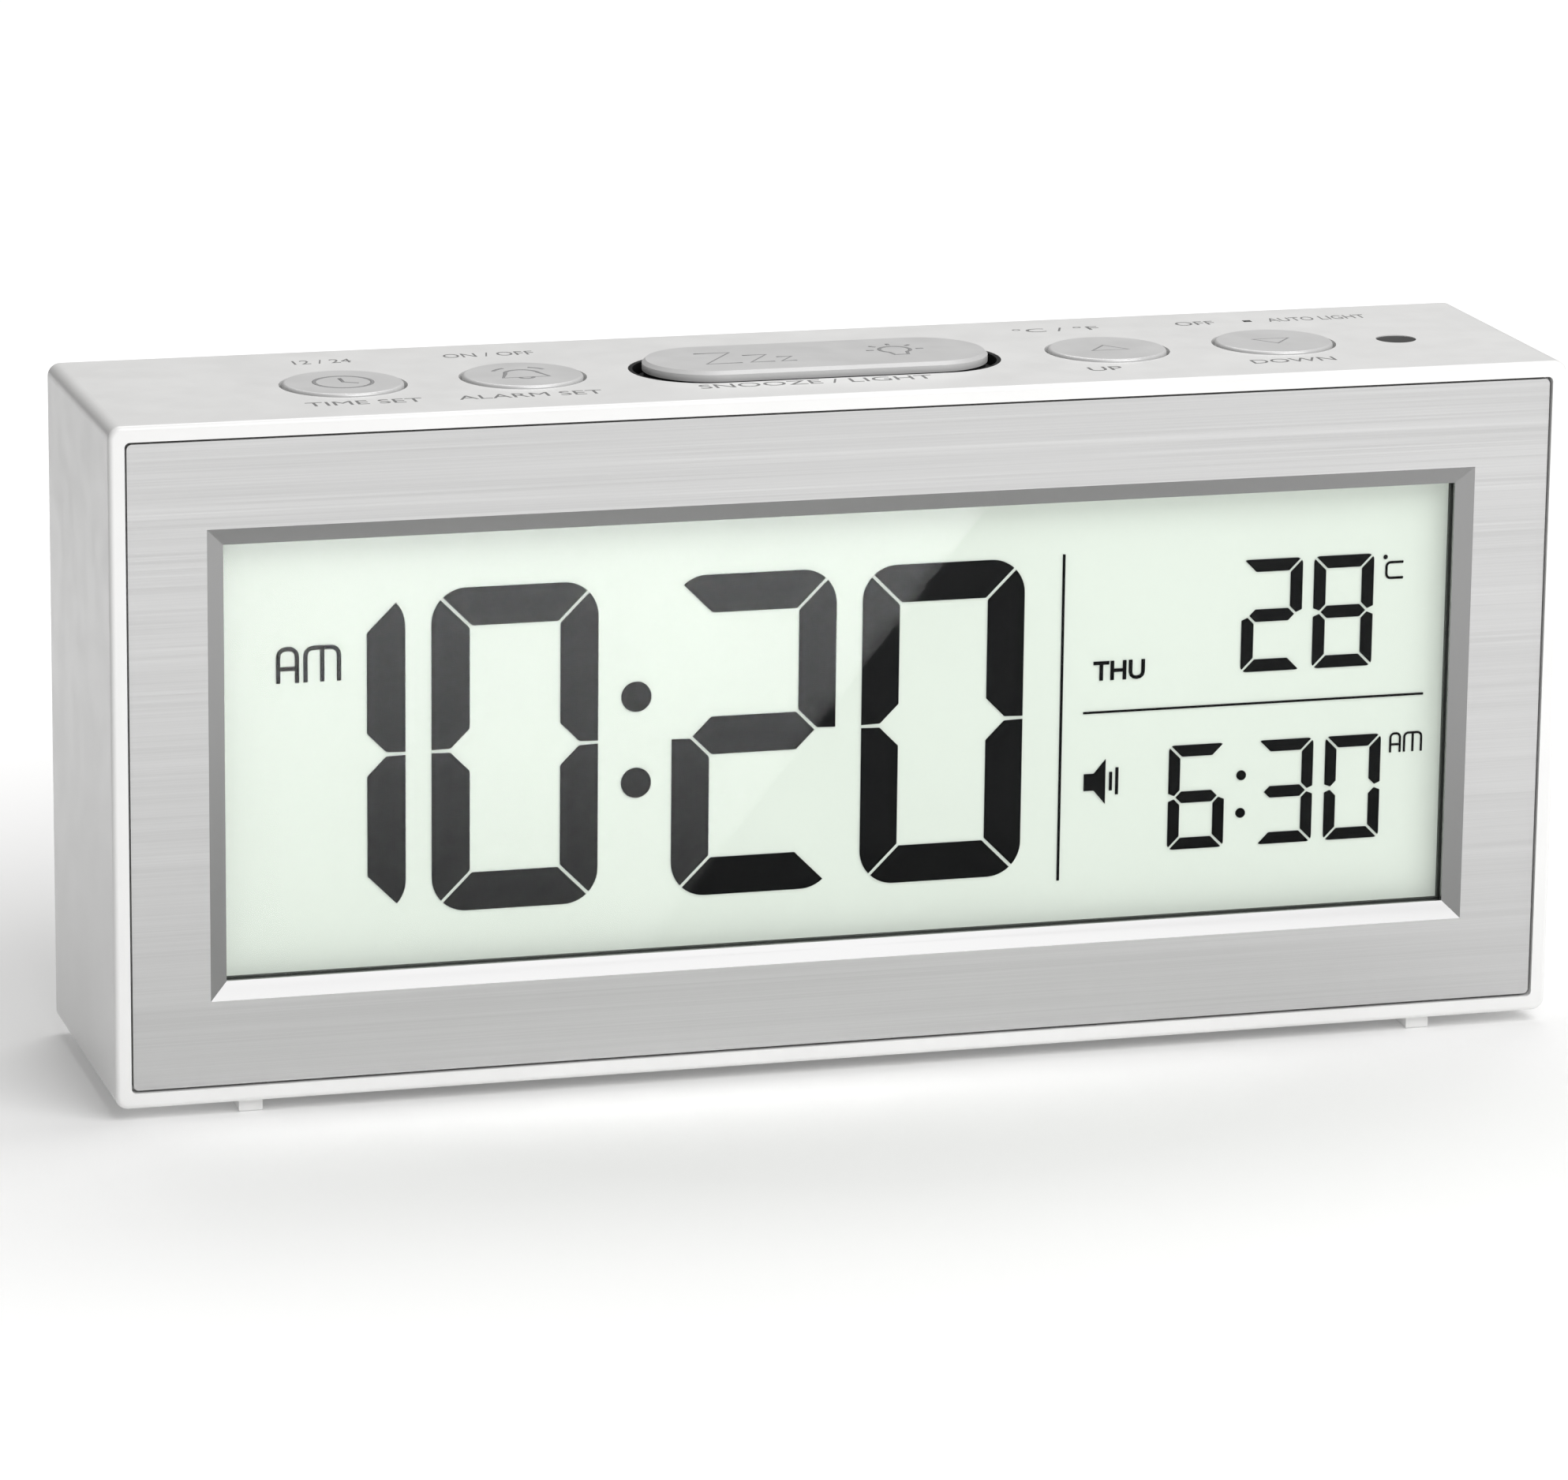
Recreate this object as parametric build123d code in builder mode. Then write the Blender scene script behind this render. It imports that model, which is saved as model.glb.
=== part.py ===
from build123d import *
from math import radians, sqrt, tan
import os

os.makedirs("parts", exist_ok=True)

# Frame: X to the right as seen from the front, the front faces -Y, Z up.
# The origin is the middle of the footprint, on the surface that the feet stand on. All sizes in mm.

# Case
case_w = 170.0
case_h = 77.6
case_d = 37.3
foot_h = 1.5
wall = 2.0
corner_r = 1.5
edge_r = 0.6
rim = 1.8
foot_x = 69.5
foot_w = 2.7
foot_l = 35.0
foot_groove = 0.6
front_y = -case_d / 2
back_y = case_d / 2
floor_z = foot_h
top_z = foot_h + case_h
mid_z = foot_h + case_h / 2

# Face plate, its bevelled window, and the line of shadow around it
plate_gap = 0.28
plate_recess = 0.3
plate_t = 1.3
window_w = 144.2
window_h = 49.8
window_z = foot_h + 38.7
bevel_w = 2.0
bevel_d = 1.0

# Display stack behind the plate, front to back
stack_w = 151.6
stack_h = 57.2
stack_play = 0.4
film_margin = 0.8
seal_w = 0.7
gasket_t = 0.25
lens_t = 1.0
inner_gasket_t = 0.5
polarizer_t = 0.2
glass_t = 0.7
cell_gap = 0.2
guide_t = 2.5
ledge_h = 2.6
plate_y = front_y + plate_recess
pocket_y = plate_y + plate_t
lens_y = pocket_y + gasket_t
inner_gasket_y = lens_y + lens_t
polarizer_y = inner_gasket_y + inner_gasket_t
glass_y = polarizer_y + polarizer_t
crystal_y = glass_y + glass_t
rear_glass_y = crystal_y + cell_gap
reflector_y = rear_glass_y + glass_t
guide_y = reflector_y + polarizer_t
tray_floor_y = guide_y + guide_t
front_wall_t = 2.4
front_wall_y = pocket_y + front_wall_t
board_t = 1.6
tray_floor_t = 1.6
tray_w = 154.0
tray_h = 60.0
zebra_w = 124.0
zebra_h = 2.0
zebra_z = 1.1
board_y = tray_floor_y + tray_floor_t
board_back_y = board_y + board_t

# Rows of the display, measured from the window's upper left corner
digit_w = 19.2
digit_h = 37.3
digit_stroke = 4.37
digit_corner = 4.0
digit_gap = 0.38
digit_top = 6.95
digit_lefts = (1.95, 24.15, 51.95, 74.25)
time_lit = ("bc", "abcdef", "abged", "abcdef")
colon_u = 47.8
colon_vs = (20.6, 30.6)
colon_r = 1.75
temp_w = 7.3
temp_h = 13.25
temp_stroke = 1.45
temp_top = 8.55
temp_lefts = (119.7, 128.4)
temp_lit = ("abged", "abcdefg")
alarm_w = 6.8
alarm_h = 12.4
alarm_stroke = 1.36
alarm_top = 30.05
alarm_lefts = (111.3, 122.1, 130.4)
alarm_lit = ("acdefg", "abcdg", "abcdef")
alarm_colon_u = 120.15
alarm_colon_vs = (34.05, 38.55)
alarm_colon_r = 0.58
small_gap = 0.3
segment_t = 0.12
upright_rule = (98.1, 26.0, 0.3, 38.5)
level_rule = (121.5, 25.55, 41.5, 0.25)
speaker_sign = (101.0, 33.8)

# Top controls
key_line_y = back_y - 19.85
key_xs = {"time": -55.0, "alarm": -34.3, "up": 35.0, "down": 55.3}
key_r = 6.85
key_hole_r = 7.25
key_rise = 0.3
key_flange_r = 8.3
bar_w = 40.4
bar_d = 15.0
bar_rise = 1.1
slot_w = 42.6
slot_d = 16.0
liner_t = 0.5
sensor_x = 70.1
sensor_y = back_y - 20.6
sensor_r = 2.3
sensor_low_z = 70.7
flange_top_z = top_z - wall - 0.2
flange_t = 1.2
stem_r = 2.0
carrier_top_z = 74.2
carrier_t = 1.2
key_board_top_z = 69.1
key_board_x = 2.75
key_board_w = 143.0
key_board_d = 16.0
key_board_y = 1.0
carrier_d = 20.0
carrier_y = -0.5
switch_w = 6.2
switch_h = 3.4
plunger_r = 1.6
plunger_low_z = 71.7
stem_low_z = 73.3
skirt_play = 0.3
skirt_drop = 1.2
pin_r = 1.5
pin_l = 4.0
pin_xs = (-13.0, 13.0)

# Rear cover, battery bay and its door
cover_t = 2.0
cover_play = 0.2
cover_y = back_y - cover_t
cell_r = 7.25
cell_l = 49.5
button_r = 2.75
button_h = 1.0
bay_x = 28.0
bay_z = 25.0
bay_w = 58.0
bay_h = 30.6
bay_wall = 1.2
bay_floor_y = 1.8
door_w = 62.0
door_h = 34.6
door_t = 1.8
door_play = 0.3
door_low_z = bay_z - door_h / 2
hook_w = 6.0
hook_h = 1.8
hook_t = 0.8
hook_inset = 1.0
hook_xs = (bay_x - 20, bay_x + 20)
speaker_x = -45.0
speaker_z = 42.0
speaker_r = 14.0
speaker_rim = 1.2
speaker_h = 3.0
basket_floor_t = 0.8
cone_drop = 1.2
cone_t = 0.3
grille_hole_r = 0.9
grille_step = 3.6
vent_x = -70.0
vent_z = 16.0
slide_x = 62.0
slide_z = 61.0
slide_w = 8.0
slide_dish_depth = 1.2
knob_x = slide_x - 2.0
knob_w = 4.6
knob_h = 5.0
rib_pitch = 1.2
rib_gap = 0.4

# Fasteners
cover_screw_xs = (-79.0, 79.0)
cover_screw_zs = (7.0, 73.2)
board_screw_xs = (-80.0, 80.0)
board_screw_zs = (15.0, 40.2, 62.5)
carrier_screw_xs = (-66.0, -44.65, -24.6, 25.0, 45.15, 66.0)
carrier_screw_y = 6.3
cover_boss_r = 3.0
board_boss_r = 2.3
screw_pad_t = 1.6
recess_r = 2.6
recess_depth = 2.4
cover_shank_r = 1.2
board_shank_r = 1.0
carrier_shank_r = 0.9
shank_play = 0.15

# Parts on the main board, and the sockets that the leads plug into
board_w = 164.4
board_h = 54.5
board_z = 38.75
chip_place = (-10.0, 45.0)
chip_r = 7.5
chip_h = 1.8
header_xs = {"speaker": -45.0, "battery": 60.0}
header_z = 58.0
header_t = 4.0


def facing(y, x=0.0, z=0.0):
    """A sketch plane that looks at the front of the clock: local x is X, local y is Z."""
    return Plane(origin=(x, y, z), x_dir=(1, 0, 0), z_dir=(0, -1, 0))


def level(z, x=0.0, y=0.0):
    """A horizontal sketch plane."""
    return Plane(origin=(x, y, z), x_dir=(1, 0, 0), z_dir=(0, 0, 1))


def keep(builder, node):
    """Label a finished piece and write it as its own node."""
    builder.part.label = node
    export_step(builder.part, f"parts/{node}.step")


# ---------------------------------------------------------------- case shell
with BuildPart() as case_shell:
    with BuildSketch(facing(front_y, 0, mid_z)):
        RectangleRounded(case_w, case_h, corner_r)
    extrude(amount=-case_d)
    fillet(case_shell.faces().sort_by(Axis.Y)[0].edges(), edge_r)
    fillet(case_shell.faces().sort_by(Axis.Y)[-1].edges(), edge_r)
    # hollow from the back, up to the front wall
    with BuildSketch(facing(front_wall_y, 0, mid_z)):
        Rectangle(case_w - 2 * wall, case_h - 2 * wall)
    extrude(amount=-case_d, mode=Mode.SUBTRACT)
    # bosses for the cover screws, the board screws and the key carrier
    with BuildSketch(facing(front_wall_y)):
        with Locations([(x, z) for x in cover_screw_xs for z in cover_screw_zs]):
            Circle(cover_boss_r)
    extrude(amount=-(cover_y - screw_pad_t - front_wall_y))
    with BuildSketch(facing(front_wall_y)):
        with Locations([(x, z) for x in board_screw_xs for z in board_screw_zs]):
            Circle(board_boss_r)
    extrude(amount=-(board_y - front_wall_y))
    with BuildSketch(level(carrier_top_z)):
        with Locations([(x, carrier_screw_y) for x in carrier_screw_xs]):
            Circle(board_boss_r)
    extrude(amount=top_z - wall - carrier_top_z)
    # pocket for the face plate, and the opening for the display stack
    with BuildSketch(facing(front_y, 0, mid_z)):
        RectangleRounded(case_w - 2 * rim, case_h - 2 * rim, edge_r)
    extrude(amount=-(pocket_y - front_y), mode=Mode.SUBTRACT)
    with BuildSketch(facing(pocket_y, 0, window_z)):
        Rectangle(stack_w + 2 * stack_play, stack_h + 2 * stack_play)
    extrude(amount=-front_wall_t, mode=Mode.SUBTRACT)
    # openings in the top for the keys, the bar and the light sensor
    with BuildSketch(level(top_z)):
        with Locations([(x, key_line_y) for x in key_xs.values()]):
            Circle(key_hole_r)
        with Locations((0, key_line_y)):
            SlotOverall(slot_w + 2 * liner_t, slot_d + 2 * liner_t)
        with Locations((sensor_x, sensor_y)):
            Circle(sensor_r + 0.05)
    extrude(amount=-wall, mode=Mode.SUBTRACT)
    # screw holes
    with BuildSketch(facing(cover_y - screw_pad_t)):
        with Locations([(x, z) for x in cover_screw_xs for z in cover_screw_zs]):
            Circle(cover_shank_r)
    extrude(amount=8.0, mode=Mode.SUBTRACT)
    with BuildSketch(facing(board_y)):
        with Locations([(x, z) for x in board_screw_xs for z in board_screw_zs]):
            Circle(board_shank_r)
    extrude(amount=4.5, mode=Mode.SUBTRACT)
    with BuildSketch(level(carrier_top_z)):
        with Locations([(x, carrier_screw_y) for x in carrier_screw_xs]):
            Circle(carrier_shank_r)
    extrude(amount=2.9, mode=Mode.SUBTRACT)
    # shallow grooves in the underside that hold the foot strips
    with BuildSketch(level(floor_z)):
        with Locations((-foot_x, 0), (foot_x, 0)):
            Rectangle(foot_w, foot_l)
    extrude(amount=foot_groove, mode=Mode.SUBTRACT)
keep(case_shell, "case_shell")

# two strips of white rubber, flush with the front of the case
with BuildPart() as foot_strips:
    with BuildSketch(level(0)):
        with Locations((-foot_x, 0), (foot_x, 0)):
            Rectangle(foot_w, foot_l)
    extrude(amount=foot_h + foot_groove)
    fillet(foot_strips.faces().group_by(Axis.Z)[0].edges(), 0.3)
keep(foot_strips, "foot_strips")

# ---------------------------------------------------------------- face plate and window
with BuildPart() as face_plate:
    with BuildSketch(facing(plate_y, 0, mid_z)):
        RectangleRounded(case_w - 2 * (rim + plate_gap), case_h - 2 * (rim + plate_gap), edge_r)
    extrude(amount=-plate_t)
    with BuildSketch(facing(plate_y, 0, window_z)):
        Rectangle(window_w + 2 * bevel_w, window_h + 2 * bevel_w)
    with BuildSketch(facing(plate_y + bevel_d, 0, window_z)):
        Rectangle(window_w, window_h)
    loft(mode=Mode.SUBTRACT)
    with BuildSketch(facing(plate_y + bevel_d, 0, window_z)):
        Rectangle(window_w, window_h)
    extrude(amount=-plate_t, mode=Mode.SUBTRACT)
keep(face_plate, "face_plate")

with BuildPart() as window_gasket:
    with BuildSketch(facing(pocket_y, 0, window_z)):
        Rectangle(stack_w, stack_h)
        Rectangle(window_w, window_h, mode=Mode.SUBTRACT)
    extrude(amount=-gasket_t)
keep(window_gasket, "window_gasket")

with BuildPart() as window_lens:
    with BuildSketch(facing(lens_y, 0, window_z)):
        Rectangle(stack_w, stack_h)
    extrude(amount=-lens_t)
keep(window_lens, "window_lens")

with BuildPart() as display_gasket:
    with BuildSketch(facing(inner_gasket_y, 0, window_z)):
        Rectangle(stack_w, stack_h)
        Rectangle(window_w, window_h, mode=Mode.SUBTRACT)
    extrude(amount=-inner_gasket_t)
keep(display_gasket, "display_gasket")

# ---------------------------------------------------------------- liquid-crystal display
with BuildPart() as front_polarizer:
    with BuildSketch(facing(polarizer_y, 0, window_z)):
        Rectangle(stack_w - 2 * film_margin, stack_h - 2 * film_margin)
    extrude(amount=-polarizer_t)
keep(front_polarizer, "front_polarizer")

with BuildPart() as front_glass:
    with BuildSketch(facing(glass_y, 0, window_z)):
        Rectangle(stack_w, stack_h)
    extrude(amount=-glass_t)
keep(front_glass, "front_glass")

# the rear glass is shorter, so that the front glass keeps a contact ledge along its lower edge
rear_glass_h = stack_h - ledge_h
rear_glass_z = window_z + ledge_h / 2
with BuildPart() as display_seal:
    with BuildSketch(facing(crystal_y, 0, rear_glass_z)):
        Rectangle(stack_w, rear_glass_h)
        Rectangle(stack_w - 2 * seal_w, rear_glass_h - 2 * seal_w, mode=Mode.SUBTRACT)
    extrude(amount=-cell_gap)
keep(display_seal, "display_seal")

with BuildPart() as rear_glass:
    with BuildSketch(facing(rear_glass_y, 0, rear_glass_z)):
        Rectangle(stack_w, rear_glass_h)
    extrude(amount=-glass_t)
keep(rear_glass, "rear_glass")

with BuildPart() as rear_reflector:
    with BuildSketch(facing(reflector_y, 0, rear_glass_z)):
        Rectangle(stack_w - 2 * film_margin, rear_glass_h - seal_w)
    extrude(amount=-polarizer_t)
keep(rear_reflector, "rear_reflector")


def cell_plane(u, v):
    """The plane of the liquid crystal, placed from the window's upper left corner."""
    return facing(crystal_y, -window_w / 2 + u, window_z + window_h / 2 - v)


def draw_digit(lit, w, h, s, gap, nib):
    """Fill the lit bars of a seven-bar digit whose upper left corner is the sketch's origin.

    s is the stroke and gap the clear line between bars. nib bevels the outer side of the
    upright bars where they meet at half height.
    """
    e = gap / sqrt(2)
    m = -h / 2
    upper = [(0, -e), (s, -s - e), (s, m + s / 2 + e), (s / 2, m + gap / 2 + e / 4), (0, m + gap / 2 + nib)]
    top = [(e, 0), (w - e, 0), (w - s - e, -s), (s + e, -s)]
    middle = [(s / 2 + e, m), (s + e, m + s / 2), (w - s - e, m + s / 2),
              (w - s / 2 - e, m), (w - s - e, m - s / 2), (s + e, m - s / 2)]
    across = [(w - x, z) for x, z in upper]
    bars = {
        "a": top,
        "b": across,
        "c": [(x, -h - z) for x, z in across],
        "d": [(x, -h - z) for x, z in top],
        "e": [(x, -h - z) for x, z in upper],
        "f": upper,
        "g": middle,
    }
    for name in lit:
        Polygon(bars[name])


with BuildPart() as time_segments:
    for left, lit in zip(digit_lefts, time_lit):
        with BuildSketch(cell_plane(left, digit_top)):
            draw_digit(lit, digit_w, digit_h, digit_stroke, digit_gap, 0)
            with Locations((digit_w / 2, -digit_h / 2)):
                RectangleRounded(digit_w, digit_h, digit_corner, mode=Mode.INTERSECT)
        extrude(amount=-segment_t)
    for v in colon_vs:
        with BuildSketch(cell_plane(colon_u, v)):
            Circle(colon_r)
        extrude(amount=-segment_t)
keep(time_segments, "time_segments")

with BuildPart() as temperature_segments:
    for left, lit in zip(temp_lefts, temp_lit):
        with BuildSketch(cell_plane(left, temp_top)):
            draw_digit(lit, temp_w, temp_h, temp_stroke, small_gap, temp_stroke / 4)
            with Locations((temp_w / 2, -temp_h / 2)):
                RectangleRounded(temp_w, temp_h, temp_stroke / 2, mode=Mode.INTERSECT)
        extrude(amount=-segment_t)
keep(temperature_segments, "temperature_segments")

with BuildPart() as alarm_segments:
    for left, lit in zip(alarm_lefts, alarm_lit):
        with BuildSketch(cell_plane(left, alarm_top)):
            draw_digit(lit, alarm_w, alarm_h, alarm_stroke, small_gap, alarm_stroke / 4)
            with Locations((alarm_w / 2, -alarm_h / 2)):
                RectangleRounded(alarm_w, alarm_h, alarm_stroke / 2, mode=Mode.INTERSECT)
        extrude(amount=-segment_t)
    for v in alarm_colon_vs:
        with BuildSketch(cell_plane(alarm_colon_u, v)):
            Circle(alarm_colon_r)
        extrude(amount=-segment_t)
keep(alarm_segments, "alarm_segments")

# rule lines between the fields, and the loudspeaker sign beside the alarm time
with BuildPart() as field_marks:
    for u, v, w, h in (upright_rule, level_rule):
        with BuildSketch(cell_plane(u, v)):
            Rectangle(w, h)
        extrude(amount=-segment_t)
    with BuildSketch(cell_plane(*speaker_sign)):
        Polygon([(0, 1.0), (1.2, 1.0), (2.6, 2.65), (2.6, -2.65), (1.2, -1.0), (0, -1.0)])
    extrude(amount=-segment_t)
    with BuildSketch(cell_plane(*speaker_sign)):
        with Locations((3.25, 0)):
            Rectangle(0.35, 2.2)
        with Locations((4.0, 0)):
            Rectangle(0.35, 3.2)
    extrude(amount=-segment_t)
keep(field_marks, "field_marks")

# light guide lit from its right edge by small lamps
guide_w = 149.2
guide_h = 53.0
with BuildPart() as light_guide:
    with BuildSketch(facing(guide_y, 0, rear_glass_z)):
        Rectangle(guide_w, guide_h)
    extrude(amount=-guide_t)
keep(light_guide, "light_guide")

with BuildPart() as backlight_lamps:
    with BuildSketch(facing(guide_y + 0.4, guide_w / 2 + 0.5, rear_glass_z)):
        with GridLocations(0, 16.0, 1, 3):
            Rectangle(1.0, 3.0)
    extrude(amount=-1.6)
keep(backlight_lamps, "backlight_lamps")

# tray that presses the display stack forward; a slot along its lower edge passes the zebra strip
with BuildPart() as display_tray:
    with BuildSketch(facing(front_wall_y, 0, window_z)):
        Rectangle(tray_w, tray_h)
        Rectangle(stack_w + 0.2, stack_h + 0.2, mode=Mode.SUBTRACT)
    extrude(amount=-(tray_floor_y - front_wall_y))
    with BuildSketch(facing(tray_floor_y, 0, window_z)):
        Rectangle(tray_w, tray_h)
        with Locations((0, -stack_h / 2 + zebra_z)):
            Rectangle(zebra_w + 2.0, zebra_h + 0.4, mode=Mode.SUBTRACT)
        with Locations((0, 2)):
            with GridLocations(48, 0, 3, 1):
                RectangleRounded(38, 34, 2, mode=Mode.SUBTRACT)
    extrude(amount=-tray_floor_t)
keep(display_tray, "display_tray")

with BuildPart() as zebra_strip:
    with BuildSketch(facing(crystal_y, 0, window_z - stack_h / 2 + zebra_z)):
        Rectangle(zebra_w, zebra_h)
    extrude(amount=-(board_y - crystal_y))
keep(zebra_strip, "zebra_strip")

# ---------------------------------------------------------------- main board
with BuildPart() as main_board:
    with BuildSketch(facing(board_y, 0, board_z)):
        RectangleRounded(board_w, board_h, 1.0)
    extrude(amount=-board_t)
    with BuildSketch(facing(board_y)):
        with Locations([(x, z) for x in board_screw_xs for z in board_screw_zs]):
            Circle(board_shank_r + shank_play)
    extrude(amount=-board_t, mode=Mode.SUBTRACT)
keep(main_board, "main_board")

with BuildPart() as clock_chip:
    with BuildSketch(facing(board_back_y, *chip_place)):
        Circle(chip_r)
    extrude(amount=-chip_h)
    fillet(clock_chip.faces().sort_by(Axis.Y)[-1].edges(), 1.5)
keep(clock_chip, "clock_chip")

with BuildPart() as quartz_crystal:
    with BuildSketch(Plane(origin=(8, board_back_y + 1.0, 44), x_dir=(1, 0, 0), z_dir=(0, 0, 1))):
        Circle(1.0)
    extrude(amount=6.0)
    fillet(quartz_crystal.faces().sort_by(Axis.Z)[-1].edges(), 0.3)
keep(quartz_crystal, "quartz_crystal")

with BuildPart() as capacitors:
    with BuildSketch(facing(board_back_y)):
        with Locations((-28, 56), (20, 56)):
            Circle(2.5)
    extrude(amount=-5.4)
    fillet(capacitors.faces().group_by(Axis.Y)[-1].edges(), 0.4)
keep(capacitors, "capacitors")

with BuildPart() as resistors:
    with BuildSketch(facing(board_back_y)):
        with Locations((-10, 32)):
            with GridLocations(4, 5, 6, 2):
                Rectangle(2.0, 1.2)
    extrude(amount=-0.6)
keep(resistors, "resistors")

with BuildPart() as thermistor:
    with BuildSketch(facing(board_back_y, vent_x, vent_z)):
        Circle(1.4)
    extrude(amount=-4.0)
    fillet(thermistor.faces().sort_by(Axis.Y)[-1].edges(), 1.2)
keep(thermistor, "thermistor")

# headers that the speaker, battery and switch leads plug into
with BuildPart() as lead_headers:
    with BuildSketch(facing(board_back_y)):
        with Locations([(x, header_z) for x in header_xs.values()]):
            Rectangle(7.0, 4.5)
    extrude(amount=-header_t)
keep(lead_headers, "lead_headers")

# ---------------------------------------------------------------- key board, carrier and switches
switch_xs = list(key_xs.values()) + [0.0]
with BuildPart() as key_board:
    with BuildSketch(level(key_board_top_z, key_board_x, key_board_y)):
        RectangleRounded(key_board_w, key_board_d, 1.0)
    extrude(amount=-board_t)
    with BuildSketch(level(key_board_top_z)):
        with Locations([(x, carrier_screw_y) for x in carrier_screw_xs]):
            Circle(carrier_shank_r + shank_play)
    extrude(amount=-board_t, mode=Mode.SUBTRACT)
keep(key_board, "key_board")

carrier_low_z = carrier_top_z - carrier_t
with BuildPart() as key_carrier:
    with BuildSketch(level(carrier_low_z, key_board_x, carrier_y)):
        RectangleRounded(key_board_w, carrier_d, 1.0)
    extrude(amount=carrier_t)
    with BuildSketch(level(key_board_top_z)):
        with Locations([(x, carrier_screw_y) for x in carrier_screw_xs]):
            Circle(2.2)
    extrude(amount=carrier_low_z - key_board_top_z)
    with BuildSketch(level(carrier_low_z)):
        with Locations([(x, key_line_y) for x in switch_xs]):
            Circle(stem_r + 0.3)
        with Locations([(x, key_line_y) for x in pin_xs]):
            Circle(pin_r + 0.3)
        with Locations((sensor_x, sensor_y)):
            Circle(sensor_r + 0.3)
    extrude(amount=carrier_t, mode=Mode.SUBTRACT)
    with BuildSketch(level(key_board_top_z)):
        with Locations([(x, carrier_screw_y) for x in carrier_screw_xs]):
            Circle(carrier_shank_r + shank_play)
    extrude(amount=carrier_top_z - key_board_top_z, mode=Mode.SUBTRACT)
keep(key_carrier, "key_carrier")

with BuildPart() as switch_housings:
    with BuildSketch(level(key_board_top_z)):
        with Locations([(x, key_line_y) for x in switch_xs]):
            Rectangle(switch_w, switch_w)
    extrude(amount=switch_h)
    with BuildSketch(level(key_board_top_z + switch_h)):
        with Locations([(x, key_line_y) for x in switch_xs]):
            Circle(plunger_r + 0.2)
    extrude(amount=-1.8, mode=Mode.SUBTRACT)
keep(switch_housings, "switch_housings")


def plunger(x):
    """The push rod of one switch, which the key's stem rests on."""
    with BuildPart() as rod:
        with BuildSketch(level(plunger_low_z, x, key_line_y)):
            Circle(plunger_r)
        extrude(amount=stem_low_z - plunger_low_z)
    return rod


def round_key(x):
    """A round key: cap, retaining flange under the case and stem."""
    with BuildPart() as key:
        with BuildSketch(level(flange_top_z - flange_t, x, key_line_y)):
            Circle(key_flange_r)
        extrude(amount=flange_t)
        with BuildSketch(level(flange_top_z, x, key_line_y)):
            Circle(key_r)
        extrude(amount=top_z + key_rise - flange_top_z)
        fillet(key.faces().sort_by(Axis.Z)[-1].edges(), 0.35)
        with BuildSketch(level(stem_low_z, x, key_line_y)):
            Circle(stem_r)
        extrude(amount=flange_top_z - flange_t - stem_low_z)
    return key


for name, x in key_xs.items():
    keep(round_key(x), f"{name}_key")
    keep(plunger(x), f"{name}_plunger")

# snooze / light bar: a dark liner in the slot, and a bright cap on a dark frame that fills the slot
bar_frame_top_z = flange_top_z - 0.2
bar_frame_t = 1.4
cap_low_z = top_z - 0.1
skirt_top_z = top_z - skirt_drop
with BuildPart() as slot_liner:
    with BuildSketch(level(top_z - wall, 0, key_line_y)):
        SlotOverall(slot_w + 2 * liner_t, slot_d + 2 * liner_t)
        SlotOverall(slot_w, slot_d, mode=Mode.SUBTRACT)
    extrude(amount=wall - 0.05)
keep(slot_liner, "slot_liner")

with BuildPart() as snooze_bar:
    with BuildSketch(level(cap_low_z, 0, key_line_y)):
        SlotOverall(bar_w, bar_d)
    extrude(amount=top_z + bar_rise - cap_low_z)
    chamfer(snooze_bar.faces().sort_by(Axis.Z)[-1].edges(), 0.4)
keep(snooze_bar, "snooze_bar")

with BuildPart() as snooze_frame:
    with BuildSketch(level(bar_frame_top_z, 0, key_line_y)):
        SlotOverall(slot_w + 2.4, slot_d + 2.4)
    extrude(amount=-bar_frame_t)
    with BuildSketch(level(bar_frame_top_z, 0, key_line_y)):
        SlotOverall(slot_w - 2 * skirt_play, slot_d - 2 * skirt_play)
    extrude(amount=skirt_top_z - bar_frame_top_z)
    with BuildSketch(level(skirt_top_z, 0, key_line_y)):
        SlotOverall(bar_w - 0.4, bar_d - 0.4)
    extrude(amount=cap_low_z - skirt_top_z)
    with BuildSketch(level(bar_frame_top_z - bar_frame_t, 0, key_line_y)):
        with Locations([(x, 0) for x in pin_xs]):
            Circle(pin_r)
    extrude(amount=-pin_l)
    with BuildSketch(level(stem_low_z, 0, key_line_y)):
        Circle(stem_r)
    extrude(amount=bar_frame_top_z - bar_frame_t - stem_low_z)
keep(snooze_frame, "snooze_frame")
keep(plunger(0.0), "snooze_plunger")

with BuildPart() as sensor_window:
    with BuildSketch(level(sensor_low_z, sensor_x, sensor_y)):
        Circle(sensor_r)
    extrude(amount=top_z - 0.1 - sensor_low_z)
keep(sensor_window, "sensor_window")

with BuildPart() as light_sensor:
    with BuildSketch(level(key_board_top_z, sensor_x, sensor_y)):
        Circle(1.5)
    extrude(amount=1.4)
keep(light_sensor, "light_sensor")

# flat ribbon from the key board down to the main board
ribbon_half_t = 0.14
with BuildPart() as key_ribbon:
    with BuildSketch(Plane.YZ.offset(-14)) as ribbon_profile:
        with BuildLine():
            ribbon_line = FilletPolyline(
                (board_back_y + 0.15, 54.0), (board_back_y + 0.15, 60.5),
                (-2.0, 63.0), (-2.0, key_board_top_z - board_t - ribbon_half_t), radius=1.2)
            offset(ribbon_line, amount=ribbon_half_t, side=Side.BOTH, kind=Kind.ARC)
        make_face()
    extrude(amount=12.0)
keep(key_ribbon, "key_ribbon")

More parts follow.
